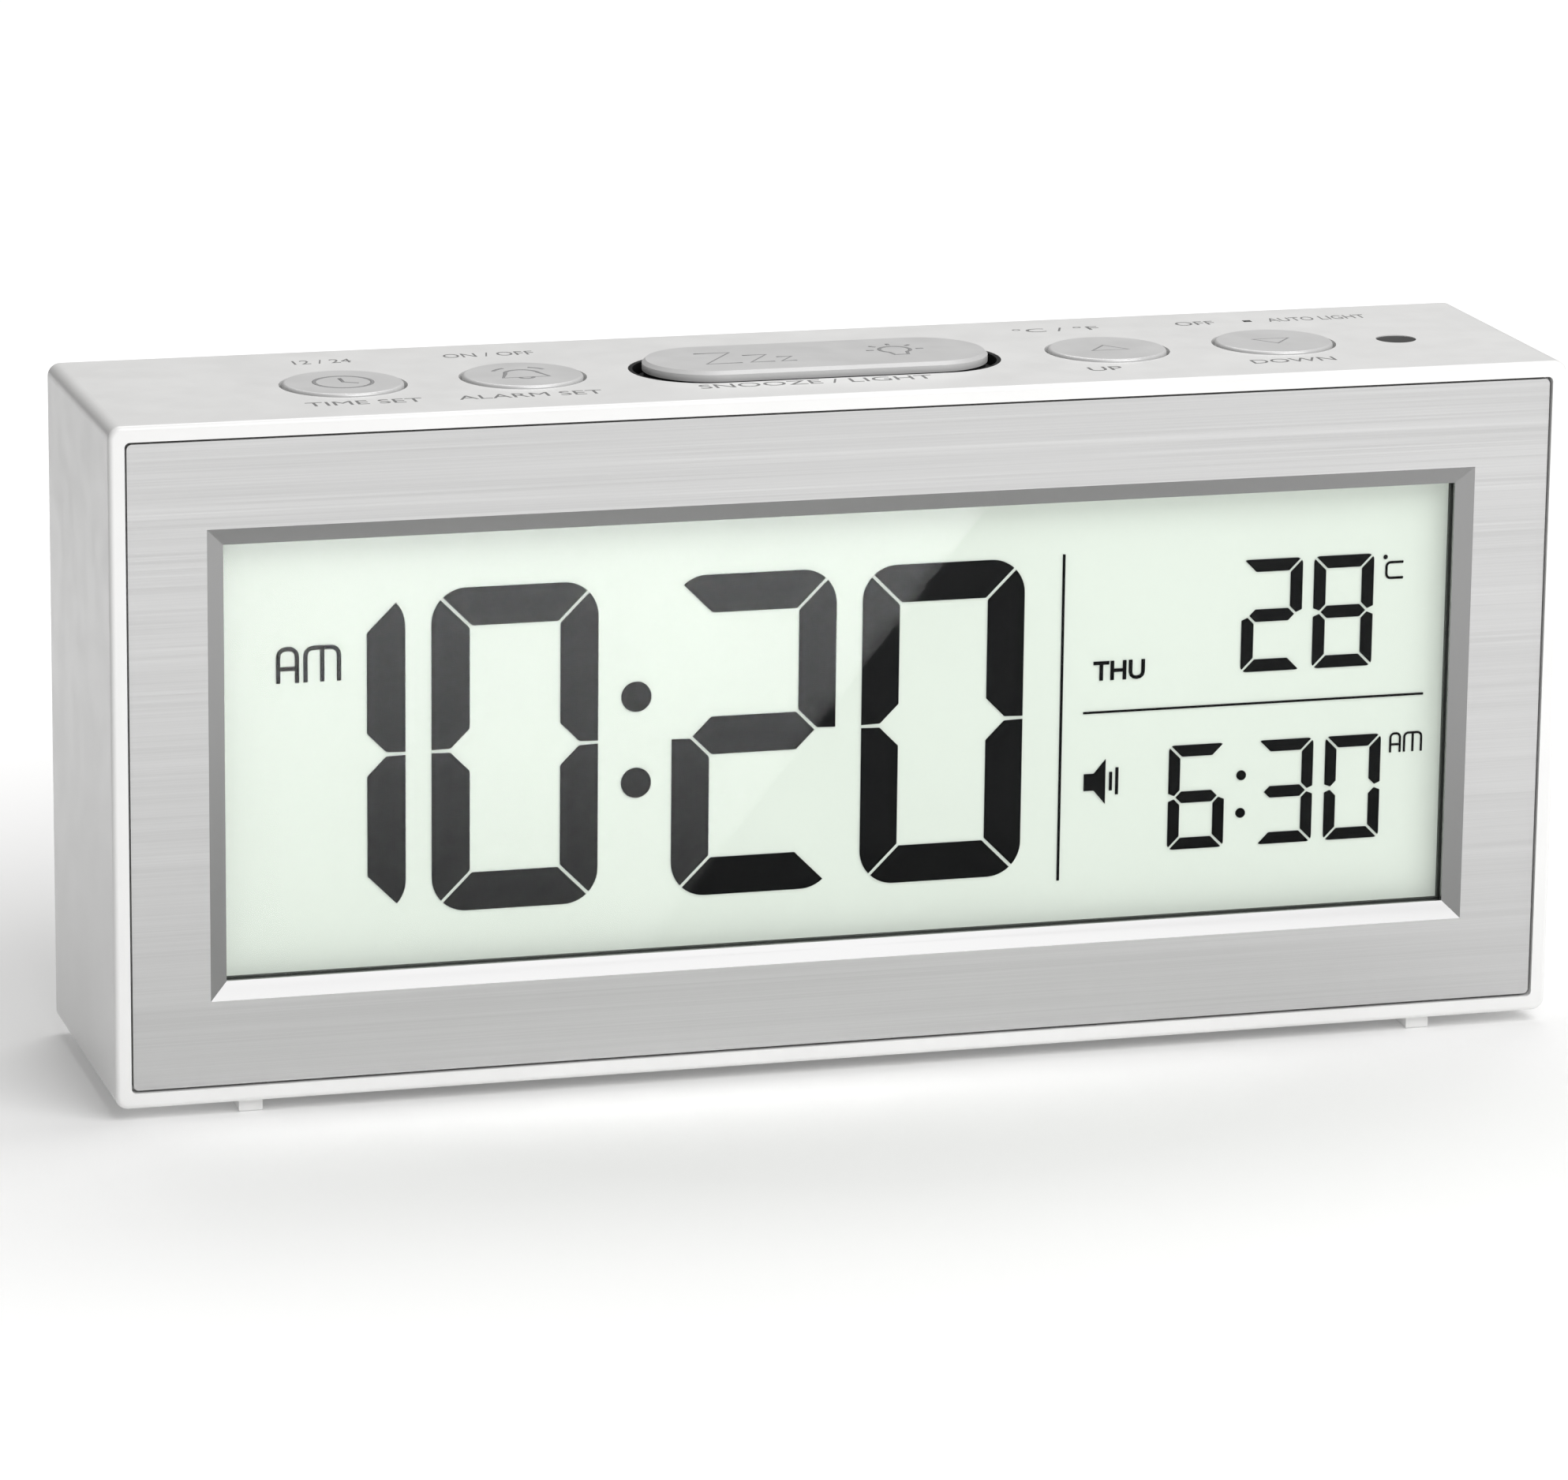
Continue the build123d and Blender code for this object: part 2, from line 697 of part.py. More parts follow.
# ---------------------------------------------------------------- rear cover
cover_w = case_w - 2 * (wall + cover_play)
cover_h = case_h - 2 * (wall + cover_play)
with BuildPart() as rear_cover:
    with BuildSketch(facing(back_y, 0, mid_z)):
        Rectangle(cover_w, cover_h)
    extrude(amount=cover_t)
    # ledge behind the door's edge, bay walls and bay floor
    with BuildSketch(facing(cover_y, bay_x, bay_z)):
        Rectangle(door_w + 4, door_h + 4.2)
    extrude(amount=bay_wall)
    with BuildSketch(facing(cover_y, bay_x, bay_z)):
        Rectangle(bay_w + 2 * bay_wall, bay_h + 2 * bay_wall)
    extrude(amount=cover_y - bay_floor_y + bay_wall)
    # pads under the screw heads
    with BuildSketch(facing(cover_y)):
        with Locations([(x, z) for x in cover_screw_xs for z in cover_screw_zs]):
            Circle(cover_boss_r)
    extrude(amount=screw_pad_t)
    # ring that locates the speaker
    with BuildSketch(facing(cover_y, speaker_x, speaker_z)):
        Circle(speaker_r + 1.5)
        Circle(speaker_r + 0.1, mode=Mode.SUBTRACT)
    extrude(amount=speaker_h)
    # openings: door, bay, hook slots
    with BuildSketch(facing(back_y, bay_x, bay_z)):
        Rectangle(door_w + 2 * door_play, door_h + 2 * door_play)
    extrude(amount=cover_t, mode=Mode.SUBTRACT)
    with BuildSketch(facing(cover_y, bay_x, bay_z)):
        Rectangle(bay_w, bay_h)
    extrude(amount=cover_y - bay_floor_y, mode=Mode.SUBTRACT)
    for x in hook_xs:
        with BuildSketch(facing(back_y - 0.8, x, door_low_z - 2.4)):
            Rectangle(hook_w + 0.8, 3.6, align=(Align.CENTER, Align.MIN))
        extrude(amount=4.0, mode=Mode.SUBTRACT)
    # screw recesses and holes
    with BuildSketch(facing(back_y)):
        with Locations([(x, z) for x in cover_screw_xs for z in cover_screw_zs]):
            Circle(recess_r)
    extrude(amount=recess_depth, mode=Mode.SUBTRACT)
    with BuildSketch(facing(back_y)):
        with Locations([(x, z) for x in cover_screw_xs for z in cover_screw_zs]):
            Circle(cover_shank_r + shank_play)
    extrude(amount=cover_t + screw_pad_t + 0.4, mode=Mode.SUBTRACT)
    # speaker grille: rings of round holes
    with BuildSketch(facing(back_y, speaker_x, speaker_z)):
        Circle(grille_hole_r)
        for ring in (1, 2, 3):
            with PolarLocations(grille_step * ring, 6 * ring):
                Circle(grille_hole_r)
    extrude(amount=cover_t, mode=Mode.SUBTRACT)
    # vents beside the thermistor
    with BuildSketch(facing(back_y, vent_x, vent_z)):
        with GridLocations(0, 3.0, 1, 4):
            SlotOverall(10.0, 1.2)
    extrude(amount=cover_t, mode=Mode.SUBTRACT)
    # shallow dish and slot for the slide switch
    with BuildSketch(facing(back_y, slide_x, slide_z)):
        RectangleRounded(15.0, 7.0, 1.2)
    extrude(amount=slide_dish_depth, mode=Mode.SUBTRACT)
    with BuildSketch(facing(back_y, slide_x, slide_z)):
        Rectangle(slide_w, 2.6)
    extrude(amount=cover_t, mode=Mode.SUBTRACT)
keep(rear_cover, "rear_cover")

# door: a flat lid with two hooks below and a ribbed thumb rest above
with BuildPart() as battery_door:
    with BuildSketch(facing(back_y, bay_x, bay_z)):
        Rectangle(door_w, door_h)
    extrude(amount=door_t)
    with BuildSketch(facing(back_y - hook_inset, 0, door_low_z - hook_h)):
        with Locations([(x, 0) for x in hook_xs]):
            Rectangle(hook_w, hook_h + 1.0, align=(Align.CENTER, Align.MIN))
    extrude(amount=hook_t)
    with BuildSketch(facing(back_y, bay_x, door_low_z + door_h - 6)):
        with GridLocations(0, 1.8, 1, 4):
            SlotOverall(14.0, 0.8)
    extrude(amount=0.5, mode=Mode.SUBTRACT)
keep(battery_door, "battery_door")


def pan_screw(head_r, head_t, shank_r, length):
    """A screw along -Z with its head's underside at the origin and a cross cut in the head."""
    with BuildPart(mode=Mode.PRIVATE) as screw:
        with BuildSketch(level(0)):
            Circle(head_r)
        extrude(amount=head_t)
        fillet(screw.faces().sort_by(Axis.Z)[-1].edges(), head_t * 0.4)
        with BuildSketch(level(head_t)):
            Rectangle(head_r * 1.2, head_r * 0.3)
            Rectangle(head_r * 0.3, head_r * 1.2)
        extrude(amount=-head_t * 0.55, mode=Mode.SUBTRACT)
        with BuildSketch(level(0)):
            Circle(shank_r)
        extrude(amount=-length)
        chamfer(screw.faces().sort_by(Axis.Z)[0].edges(), shank_r * 0.4)
    return screw.part


cover_screw = pan_screw(2.4, 1.6, cover_shank_r, 8.5)
board_screw = pan_screw(2.0, 1.3, board_shank_r, 5.5)
carrier_screw = pan_screw(1.8, 1.1, carrier_shank_r, 9.0)

with BuildPart() as cover_screws:
    seats = [(x, back_y - recess_depth, z) for x in cover_screw_xs for z in cover_screw_zs]
    add([Plane(origin=seat, z_dir=(0, 1, 0)) * cover_screw for seat in seats])
keep(cover_screws, "cover_screws")

with BuildPart() as board_screws:
    seats = [(x, board_back_y, z) for x in board_screw_xs for z in board_screw_zs]
    add([Plane(origin=seat, z_dir=(0, 1, 0)) * board_screw for seat in seats])
keep(board_screws, "board_screws")

with BuildPart() as carrier_screws:
    seats = [(x, carrier_screw_y, key_board_top_z - board_t) for x in carrier_screw_xs]
    add([Plane(origin=seat, z_dir=(0, 0, -1)) * carrier_screw for seat in seats])
keep(carrier_screws, "carrier_screws")

# ---------------------------------------------------------------- battery bay
cell_y = bay_floor_y + 0.2 + cell_r
cell_zs = (bay_z - cell_r - 0.2, bay_z + cell_r + 0.2)
contact_t = 0.4
with BuildPart() as battery_cells:
    for z in cell_zs:
        turn = 1 if z < bay_z else -1
        body_x = bay_x - turn * 2.0
        with BuildSketch(Plane(origin=(body_x, cell_y, z), z_dir=(turn, 0, 0))):
            Circle(cell_r)
        extrude(amount=cell_l / 2, both=True)
        with BuildSketch(Plane(origin=(body_x + turn * cell_l / 2, cell_y, z), z_dir=(turn, 0, 0))):
            Circle(button_r)
        extrude(amount=button_h)
keep(battery_cells, "battery_cells")

with BuildPart() as contact_plates:
    for side in (-1, 1):
        seat = (bay_x + side * bay_w / 2, bay_floor_y + 7.5, bay_z)
        with BuildSketch(Plane(origin=seat, x_dir=(0, 1, 0), z_dir=(-side, 0, 0))):
            Rectangle(12.0, 28.0)
        extrude(amount=contact_t)
keep(contact_plates, "contact_plates")

# a conical spring on each cell's flat end, made of touching rings of wire
with BuildPart() as battery_springs:
    for z in cell_zs:
        turn = 1 if z < bay_z else -1
        plate_x = bay_x - turn * (bay_w / 2 - contact_t)
        reach = bay_w / 2 - contact_t - 2.0 - cell_l / 2
        with BuildSketch(Plane(origin=(plate_x, cell_y, z), z_dir=(turn, 0, 0))):
            Circle(4.6)
            Circle(3.8, mode=Mode.SUBTRACT)
        extrude(amount=reach / 2)
        with BuildSketch(Plane(origin=(plate_x + turn * reach / 2, cell_y, z), z_dir=(turn, 0, 0))):
            Circle(3.9)
            Circle(2.8, mode=Mode.SUBTRACT)
        extrude(amount=reach / 2)
keep(battery_springs, "battery_springs")

# ---------------------------------------------------------------- speaker
with BuildPart() as speaker_basket:
    with BuildSketch(facing(cover_y, speaker_x, speaker_z)):
        Circle(speaker_r)
        Circle(speaker_r - speaker_rim, mode=Mode.SUBTRACT)
    extrude(amount=speaker_h)
    with BuildSketch(facing(cover_y - speaker_h, speaker_x, speaker_z)):
        Circle(speaker_r)
    extrude(amount=basket_floor_t)
keep(speaker_basket, "speaker_basket")

with BuildPart() as speaker_magnet:
    with BuildSketch(facing(cover_y - speaker_h - basket_floor_t, speaker_x, speaker_z)):
        Circle(7.0)
    extrude(amount=3.2)
    fillet(speaker_magnet.faces().sort_by(Axis.Y)[0].edges(), 0.4)
keep(speaker_magnet, "speaker_magnet")

with BuildPart() as speaker_diaphragm:
    with BuildSketch(facing(cover_y - cone_drop, speaker_x, speaker_z)):
        Circle(speaker_r - speaker_rim)
    extrude(amount=cone_t)
    with BuildSketch(facing(cover_y - cone_drop - cone_t, speaker_x, speaker_z)):
        Circle(6.0)
        Circle(5.4, mode=Mode.SUBTRACT)
    extrude(amount=1.4)
keep(speaker_diaphragm, "speaker_diaphragm")

# ---------------------------------------------------------------- alarm slide switch
with BuildPart() as alarm_switch_body:
    with BuildSketch(facing(cover_y, slide_x, slide_z)):
        Rectangle(13.0, 6.0)
    extrude(amount=4.2)
    with BuildSketch(facing(cover_y, slide_x, slide_z)):
        Rectangle(slide_w, 2.8)
    extrude(amount=1.6, mode=Mode.SUBTRACT)
keep(alarm_switch_body, "alarm_switch_body")

with BuildPart() as alarm_switch_knob:
    with BuildSketch(facing(back_y - 0.1, knob_x, slide_z)):
        Rectangle(knob_w, knob_h)
    extrude(amount=1.0)
    for dx in (-rib_pitch, 0.0, rib_pitch):
        with BuildSketch(facing(back_y - 0.1, knob_x + dx, slide_z)):
            Rectangle(rib_gap, knob_h)
        extrude(amount=rib_gap, mode=Mode.SUBTRACT)
    with BuildSketch(facing(back_y - 1.1, knob_x, slide_z)):
        Rectangle(2.4, 2.0)
    extrude(amount=1.9)
keep(alarm_switch_knob, "alarm_switch_knob")


# ---------------------------------------------------------------- leads
def lead(route, radius=0.5):
    """One wire: straight runs joined by arcs as large as the runs allow."""
    points = [Vector(*point) for point in route]
    bends = []
    for before, at, after in zip(points, points[1:], points[2:]):
        run = min((at - before).length, (after - at).length)
        turn = (at - before).get_angle(after - at)
        bends.append(0.45 * run / tan(radians(turn / 2)))
    with BuildPart() as wire:
        with BuildLine() as path:
            FilletPolyline(*points, radius=bends)
        with BuildSketch(Plane(origin=path.line @ 0, z_dir=path.line % 0)):
            Circle(radius)
        sweep(path=path.line)
    return wire.part


header_y = board_back_y + header_t
basket_back_y = cover_y - speaker_h - basket_floor_t
bay_side_x = bay_x + bay_w / 2 + bay_wall

with BuildPart() as speaker_leads:
    for dx in (-1.3, 1.3):
        x = speaker_x + dx
        add(lead([(x, header_y, header_z), (x, 1.0, header_z), (x + 0.6, 5.0, 54.5),
                  (x, 8.5, 52.5), (x, basket_back_y, 52.3)]))
keep(speaker_leads, "speaker_leads")

with BuildPart() as battery_leads:
    for shift in (0.0, 2.4):
        add(lead([(59.0 + shift, header_y, header_z), (59.0 + shift, 1.0, header_z),
                  (61.0 + shift, 3.5 + shift, 50.0), (62.6 + shift / 2, 4.6 + shift, 41.0),
                  (62.9 + shift / 2, 5.2 + shift, 33.0), (bay_side_x, 5.2 + shift, 33.0)]))
keep(battery_leads, "battery_leads")
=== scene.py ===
import math

import bmesh
import bpy
from mathutils import Matrix, Vector


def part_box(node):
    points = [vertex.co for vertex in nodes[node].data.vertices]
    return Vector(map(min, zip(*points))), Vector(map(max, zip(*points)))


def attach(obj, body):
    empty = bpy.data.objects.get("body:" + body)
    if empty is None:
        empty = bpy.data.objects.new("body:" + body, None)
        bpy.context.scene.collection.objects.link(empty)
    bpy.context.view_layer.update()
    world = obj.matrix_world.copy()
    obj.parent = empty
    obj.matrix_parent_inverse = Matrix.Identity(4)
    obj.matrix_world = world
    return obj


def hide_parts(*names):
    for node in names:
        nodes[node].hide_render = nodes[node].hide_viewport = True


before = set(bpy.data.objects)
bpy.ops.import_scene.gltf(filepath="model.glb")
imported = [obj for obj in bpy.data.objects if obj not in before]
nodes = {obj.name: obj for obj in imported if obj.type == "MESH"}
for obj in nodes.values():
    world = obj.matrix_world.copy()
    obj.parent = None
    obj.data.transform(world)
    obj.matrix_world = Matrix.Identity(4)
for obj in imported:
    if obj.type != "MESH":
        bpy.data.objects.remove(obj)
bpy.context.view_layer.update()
MM = 0.001


# ---- studio -------------------------------------------------------------------------------
# A pale seamless floor, one large soft box in front and above, a weaker one behind, and an even
# pale surround. The camera looks down a little, from the clock's left.
scene = bpy.context.scene
scene.view_settings.view_transform = "Standard"
scene.cycles.transparent_max_bounces = 24
camera_azimuth = math.radians(-15.95)
camera_elevation = math.radians(14.16)
camera_roll = math.radians(0.63)
camera_distance = 0.830
shell_low, shell_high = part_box("case_shell")
camera_target = Vector((-8.2 * MM, shell_low.y, shell_low.z + 38.1 * MM))


def orbit(azimuth, elevation, distance):
    """A point round the middle of the clock: azimuth 0 is in front, positive to the right."""
    level = math.cos(elevation) * distance
    return Vector((math.sin(azimuth) * level, -math.cos(azimuth) * level, math.sin(elevation) * distance))


def aimed(location, target, roll=0.0):
    """A matrix at location whose -Z looks at target, as a camera or an area light needs."""
    back = (location - target).normalized()
    right = Vector((0, 0, 1)).cross(back).normalized()
    up = back.cross(right)
    across = right * math.cos(roll) + up * math.sin(roll)
    over = up * math.cos(roll) - right * math.sin(roll)
    turned = Matrix((across, over, back)).transposed().to_4x4()
    return Matrix.Translation(location) @ turned


camera = bpy.data.objects.new("camera", bpy.data.cameras.new("camera"))
scene.collection.objects.link(camera)
camera.data.lens = 169.0
camera.data.sensor_width = 36.0
camera.data.clip_start = 0.01
camera_place = camera_target + orbit(camera_azimuth, camera_elevation, camera_distance)
camera.matrix_world = aimed(camera_place, camera_target, camera_roll)
scene.camera = camera


def soft_box(name, azimuth, elevation, distance, width, height, watts):
    """A rectangular area light aimed at the middle of the clock."""
    lamp = bpy.data.lights.new(name, "AREA")
    lamp.shape = "RECTANGLE"
    lamp.size = width
    lamp.size_y = height
    lamp.energy = watts
    box = bpy.data.objects.new(name, lamp)
    scene.collection.objects.link(box)
    middle = Vector((0, 0, shell_high.z / 2))
    box.matrix_world = aimed(middle + orbit(math.radians(azimuth), math.radians(elevation), distance), middle)


soft_box("key_box", 22, 46, 1.10, 1.00, 0.80, 8.6)
soft_box("back_box", 160, 62, 1.20, 0.80, 0.60, 4.6)

world = bpy.data.worlds.new("studio_air")
scene.world = world
world.use_nodes = True
world.node_tree.nodes["Background"].inputs["Color"].default_value = (1.0, 0.99, 0.975, 1)
world.node_tree.nodes["Background"].inputs["Strength"].default_value = 0.30


class Paint:
    """A new material with its nodes at hand; add() makes a node and join() links two sockets."""

    def __init__(self, name):
        self.material = bpy.data.materials.new(name)
        self.material.use_nodes = True
        self.tree = self.material.node_tree
        self.surface = self.tree.nodes["Principled BSDF"]
        self.place = self.add("ShaderNodeTexCoord").outputs["Object"]

    def add(self, kind, **settings):
        """A new node, with these of its own settings."""
        node = self.tree.nodes.new(kind)
        for key, value in settings.items():
            setattr(node, key, value)
        return node

    def join(self, start, end):
        """A link from an output to an input."""
        self.tree.links.new(start, end)

    def set(self, **values):
        """Constants on the surface shader's inputs, with _ for a space."""
        for key, value in values.items():
            self.surface.inputs[key.replace("_", " ")].default_value = value

    def noise(self, scale, detail=3.0, stretch=(1, 1, 1), roughness=0.5):
        """Noise in the piece's own place, stretched along the axes."""
        turn = self.add("ShaderNodeMapping")
        turn.inputs["Scale"].default_value = stretch
        self.join(self.place, turn.inputs["Vector"])
        grain = self.add("ShaderNodeTexNoise")
        grain.inputs["Scale"].default_value = scale
        grain.inputs["Detail"].default_value = detail
        grain.inputs["Roughness"].default_value = roughness
        self.join(turn.outputs["Vector"], grain.inputs["Vector"])
        return grain.outputs["Fac"]

    def span(self, source, low, high, from_low=0.3, from_high=0.7):
        """source, mapped from its usual range to low..high."""
        ramp = self.add("ShaderNodeMapRange")
        ramp.inputs["From Min"].default_value = from_low
        ramp.inputs["From Max"].default_value = from_high
        ramp.inputs["To Min"].default_value = low
        ramp.inputs["To Max"].default_value = high
        self.join(source, ramp.inputs["Value"])
        return ramp.outputs["Result"]

    def blend(self, factor, first, second):
        """A colour between two colours."""
        mix = self.add("ShaderNodeMix", data_type="RGBA")
        self.join(factor, mix.inputs["Factor"])
        for socket, colour in ((mix.inputs["A"], first), (mix.inputs["B"], second)):
            if isinstance(colour, tuple):
                socket.default_value = (*colour, 1)
            else:
                self.join(colour, socket)
        return mix.outputs["Result"]

    def relief(self, height, distance, strength=0.5):
        """A fine bump of the surface."""
        bump = self.add("ShaderNodeBump")
        bump.inputs["Distance"].default_value = distance
        bump.inputs["Strength"].default_value = strength
        self.join(height, bump.inputs["Height"])
        self.join(bump.outputs["Normal"], self.surface.inputs["Normal"])


def scaled(colour, factor):
    """A colour made darker or lighter."""
    return tuple(min(1.0, channel * factor) for channel in colour)


# the floor's glow near the clock and far from it; the low glow near the clock is a painted shadow
near_glow = 0.08
far_glow = 0.50
glow_starts = 0.06
glow_ends = 0.24
floor_size = 6.0
floor_paint = Paint("floor_paper")
floor_tone = floor_paint.span(floor_paint.noise(3.0), 0, 1)
floor_paint.join(floor_paint.blend(floor_tone, (0.82, 0.82, 0.82), (0.84, 0.84, 0.835)),
                 floor_paint.surface.inputs["Base Color"])
floor_paint.set(Roughness=0.75, Emission_Color=(1, 1, 1, 1))
# the sheet glows as painted light, weakest near the clock and more and more with the distance from it, which
# leaves a painted shadow round the clock
away = floor_paint.add("ShaderNodeVectorMath", operation="LENGTH")
floor_paint.join(floor_paint.place, away.inputs[0])
floor_paint.join(floor_paint.span(away.outputs["Value"], near_glow, far_glow, glow_starts, glow_ends),
                 floor_paint.surface.inputs["Emission Strength"])


def staged_sheet(name, corners, paint):
    """One flat four-cornered sheet that belongs to the studio, not to the clock."""
    mesh = bpy.data.meshes.new(name)
    mesh.from_pydata(corners, [], [(0, 1, 2, 3)])
    mesh.materials.append(paint.material)
    sheet = bpy.data.objects.new(name, mesh)
    scene.collection.objects.link(sheet)
    return sheet


half = floor_size / 2
staged_sheet("floor", [(-half, -half, 0), (half, -half, 0), (half, half, 0), (-half, half, 0)], floor_paint)

# a dark card that stands to the left of the clock, out of the picture, and shades its end
flag_x = -0.17
flag_d = 0.24
flag_h = 0.13
flag_paint = Paint("flag_black")
flag_paint.set(Base_Color=(0.02, 0.02, 0.02, 1), Roughness=0.9)
flag = staged_sheet("flag", [(flag_x, -flag_d / 2, 0), (flag_x, flag_d / 2, 0),
                             (flag_x, flag_d / 2, flag_h), (flag_x, -flag_d / 2, flag_h)], flag_paint)
for seen_by in ("camera", "glossy", "shadow"):
    setattr(flag, f"visible_{seen_by}", False)
floor_paint.material.cycles.emission_sampling = "NONE"


# ---- case shell ---------------------------------------------------------------------------
# One deep moulding in white ABS with a satin gloss. The rim stands proud round the face plate,
# and its edges are eased where the mould halves meet.
def dress(node, paint):
    """Give a carried-over part its finish."""
    mesh = nodes[node].data
    mesh.materials.clear()
    mesh.materials.append(paint.material)


def moulded(name, colour, gloss, grain=900.0, depth=0.02):
    """Moulded plastic: a faint mottle in colour and gloss, and the mould's fine texture."""
    paint = Paint(name)
    mottle = paint.span(paint.noise(60.0, 4.0), 0, 1)
    paint.join(paint.blend(mottle, scaled(colour, 0.975), scaled(colour, 1.015)),
               paint.surface.inputs["Base Color"])
    paint.join(paint.span(paint.noise(220.0, 2.0), gloss - 0.04, gloss + 0.05),
               paint.surface.inputs["Roughness"])
    paint.relief(paint.noise(grain, 2.0), depth * MM, 0.35)
    return paint


case_white = moulded("case_white", (0.905, 0.905, 0.90), 0.32, 700.0, 0.012)
case_white.set(Coat_Weight=0.25, Coat_Roughness=0.18)
dress("case_shell", case_white)


# ---- foot strips --------------------------------------------------------------------------
# Two narrow strips of white rubber that the clock stands on. They are cut from sheet and
# pressed into shallow grooves in the underside of the case.
foot_white = moulded("foot_white", (0.90, 0.90, 0.895), 0.55, 1400.0, 0.03)
dress("foot_strips", foot_white)


# ---- face plate ---------------------------------------------------------------------------
# Aluminium sheet, brushed along its length and clear anodised. The window's edge is cut back
# to a slope and left smoother than the face.
def brushed_metal(name, colour, along, gloss, contrast=0.035):
    """Metal with fine scratches that run along one axis: 0 for X, 2 for Z."""
    paint = Paint(name)
    hair = [7000.0, 7000.0, 7000.0]
    hair[along] = 18.0
    streak = [900.0, 900.0, 900.0]
    streak[along] = 6.0
    scratches = paint.noise(1.0, 2.0, tuple(hair), 0.6)
    bands = paint.noise(1.0, 2.0, tuple(streak))
    both = paint.add("ShaderNodeMath", operation="MULTIPLY_ADD")
    paint.join(bands, both.inputs[0])
    both.inputs[1].default_value = 0.45
    paint.join(scratches, both.inputs[2])
    tone = paint.span(both.outputs[0], 0, 1, 0.5, 0.95)
    paint.tone = paint.blend(tone, scaled(colour, 1 - contrast), scaled(colour, 1 + contrast))
    paint.gloss = paint.span(both.outputs[0], gloss + 0.05, gloss - 0.05, 0.5, 0.95)
    paint.join(paint.tone, paint.surface.inputs["Base Color"])
    paint.join(paint.gloss, paint.surface.inputs["Roughness"])
    paint.set(Metallic=1.0, Anisotropic=0.5)
    paint.relief(scratches, 0.002 * MM, 0.4)
    return paint


plate_grey = (0.60, 0.60, 0.60)
slope_shade_grey = (0.28, 0.28, 0.28)
slope_roughness = 0.24
plate_paint = brushed_metal("brushed_plate", plate_grey, 0, 0.42)
# the face looks straight to the front, and the slopes look aside; the slopes get a darker grey, a painted
# shade, and their own gloss
facing = plate_paint.add("ShaderNodeSeparateXYZ")
plate_paint.join(plate_paint.add("ShaderNodeTexCoord").outputs["Normal"], facing.inputs[0])
on_slope = plate_paint.span(facing.outputs["Y"], 0, 1, -0.98, -0.93)
plate_paint.join(plate_paint.blend(on_slope, plate_paint.tone, slope_shade_grey),
                 plate_paint.surface.inputs["Base Color"])
slope_gloss = plate_paint.add("ShaderNodeMix", data_type="FLOAT")
plate_paint.join(on_slope, slope_gloss.inputs["Factor"])
plate_paint.join(plate_paint.gloss, slope_gloss.inputs["A"])
slope_gloss.inputs["B"].default_value = slope_roughness
plate_paint.join(slope_gloss.outputs["Result"], plate_paint.surface.inputs["Roughness"])
dress("face_plate", plate_paint)


# ---- gaskets ------------------------------------------------------------------------------
# Two frames die-cut from black foam with a tacky back. One seals the window to the case, and
# one keeps dust out between the window and the display.
foam_black = moulded("foam_black", (0.06, 0.065, 0.06), 0.8, 2500.0, 0.05)
for gasket in ("window_gasket", "display_gasket"):
    dress(gasket, foam_black)


# ---- window lens --------------------------------------------------------------------------
# A flat sheet of clear cast acrylic with a hard, faintly reflecting coat on both faces. The
# display tray presses it forward against the foam.
def clear_sheet(name, tint, index, gloss=0.004):
    """A clear sheet: what is behind shows through, under the surface's own reflection."""
    paint = Paint(name)
    paint.set(Roughness=gloss, Metallic=1.0, Base_Color=(1, 1, 1, 1))
    smear = paint.span(paint.noise(45.0, 2.0), gloss, gloss + 0.006)
    paint.join(smear, paint.surface.inputs["Roughness"])
    through = paint.add("ShaderNodeBsdfTransparent")
    through.inputs["Color"].default_value = (*tint, 1)
    shine = paint.add("ShaderNodeFresnel")
    shine.inputs["IOR"].default_value = index
    mix = paint.add("ShaderNodeMixShader")
    paint.join(shine.outputs[0], mix.inputs[0])
    paint.join(through.outputs[0], mix.inputs[1])
    paint.join(paint.surface.outputs[0], mix.inputs[2])
    paint.join(mix.outputs[0], paint.tree.nodes["Material Output"].inputs["Surface"])
    return paint


dress("window_lens", clear_sheet("clear_lens", (0.99, 0.995, 0.99), 1.12))

# a glowing card held low in front of the clock, which only the lens mirrors: a painted reflection, brighter
# towards its top, laid as a glare on the window
lens_low, lens_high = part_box("window_lens")
card_out = 50 * MM
card_left = -78 * MM
card_right_top = 35.5 * MM
card_right_foot = -11 * MM
card_foot = 0.5 * MM
card_top = 58 * MM
card_dim = 3.0
card_bright = 15.0
bright_from = 54 * MM
card_y = lens_low.y - card_out
card_paint = Paint("card_glow")
card_rise = card_paint.add("ShaderNodeSeparateXYZ")
card_paint.join(card_paint.place, card_rise.inputs[0])
card_light = card_paint.add("ShaderNodeEmission")
card_paint.join(card_paint.span(card_rise.outputs["Z"], card_dim, card_bright, 0.0, bright_from),
                card_light.inputs["Strength"])
card_both = card_paint.add("ShaderNodeAddShader")
card_paint.join(card_light.outputs[0], card_both.inputs[0])
card_paint.join(card_paint.add("ShaderNodeBsdfTransparent").outputs[0], card_both.inputs[1])
card_paint.join(card_both.outputs[0], card_paint.tree.nodes["Material Output"].inputs["Surface"])
lens_card = staged_sheet("lens_card", [(card_left, card_y, card_foot), (card_right_foot, card_y, card_foot),
                                       (card_right_top, card_y, card_top), (card_left, card_y, card_top)],
                         card_paint)
for seen_by in ("camera", "diffuse", "transmission", "volume_scatter", "shadow"):
    setattr(lens_card, f"visible_{seen_by}", False)
lens_only = bpy.data.collections.new("lens_only")
lens_only.objects.link(nodes["window_lens"])
lens_card.light_linking.receiver_collection = lens_only
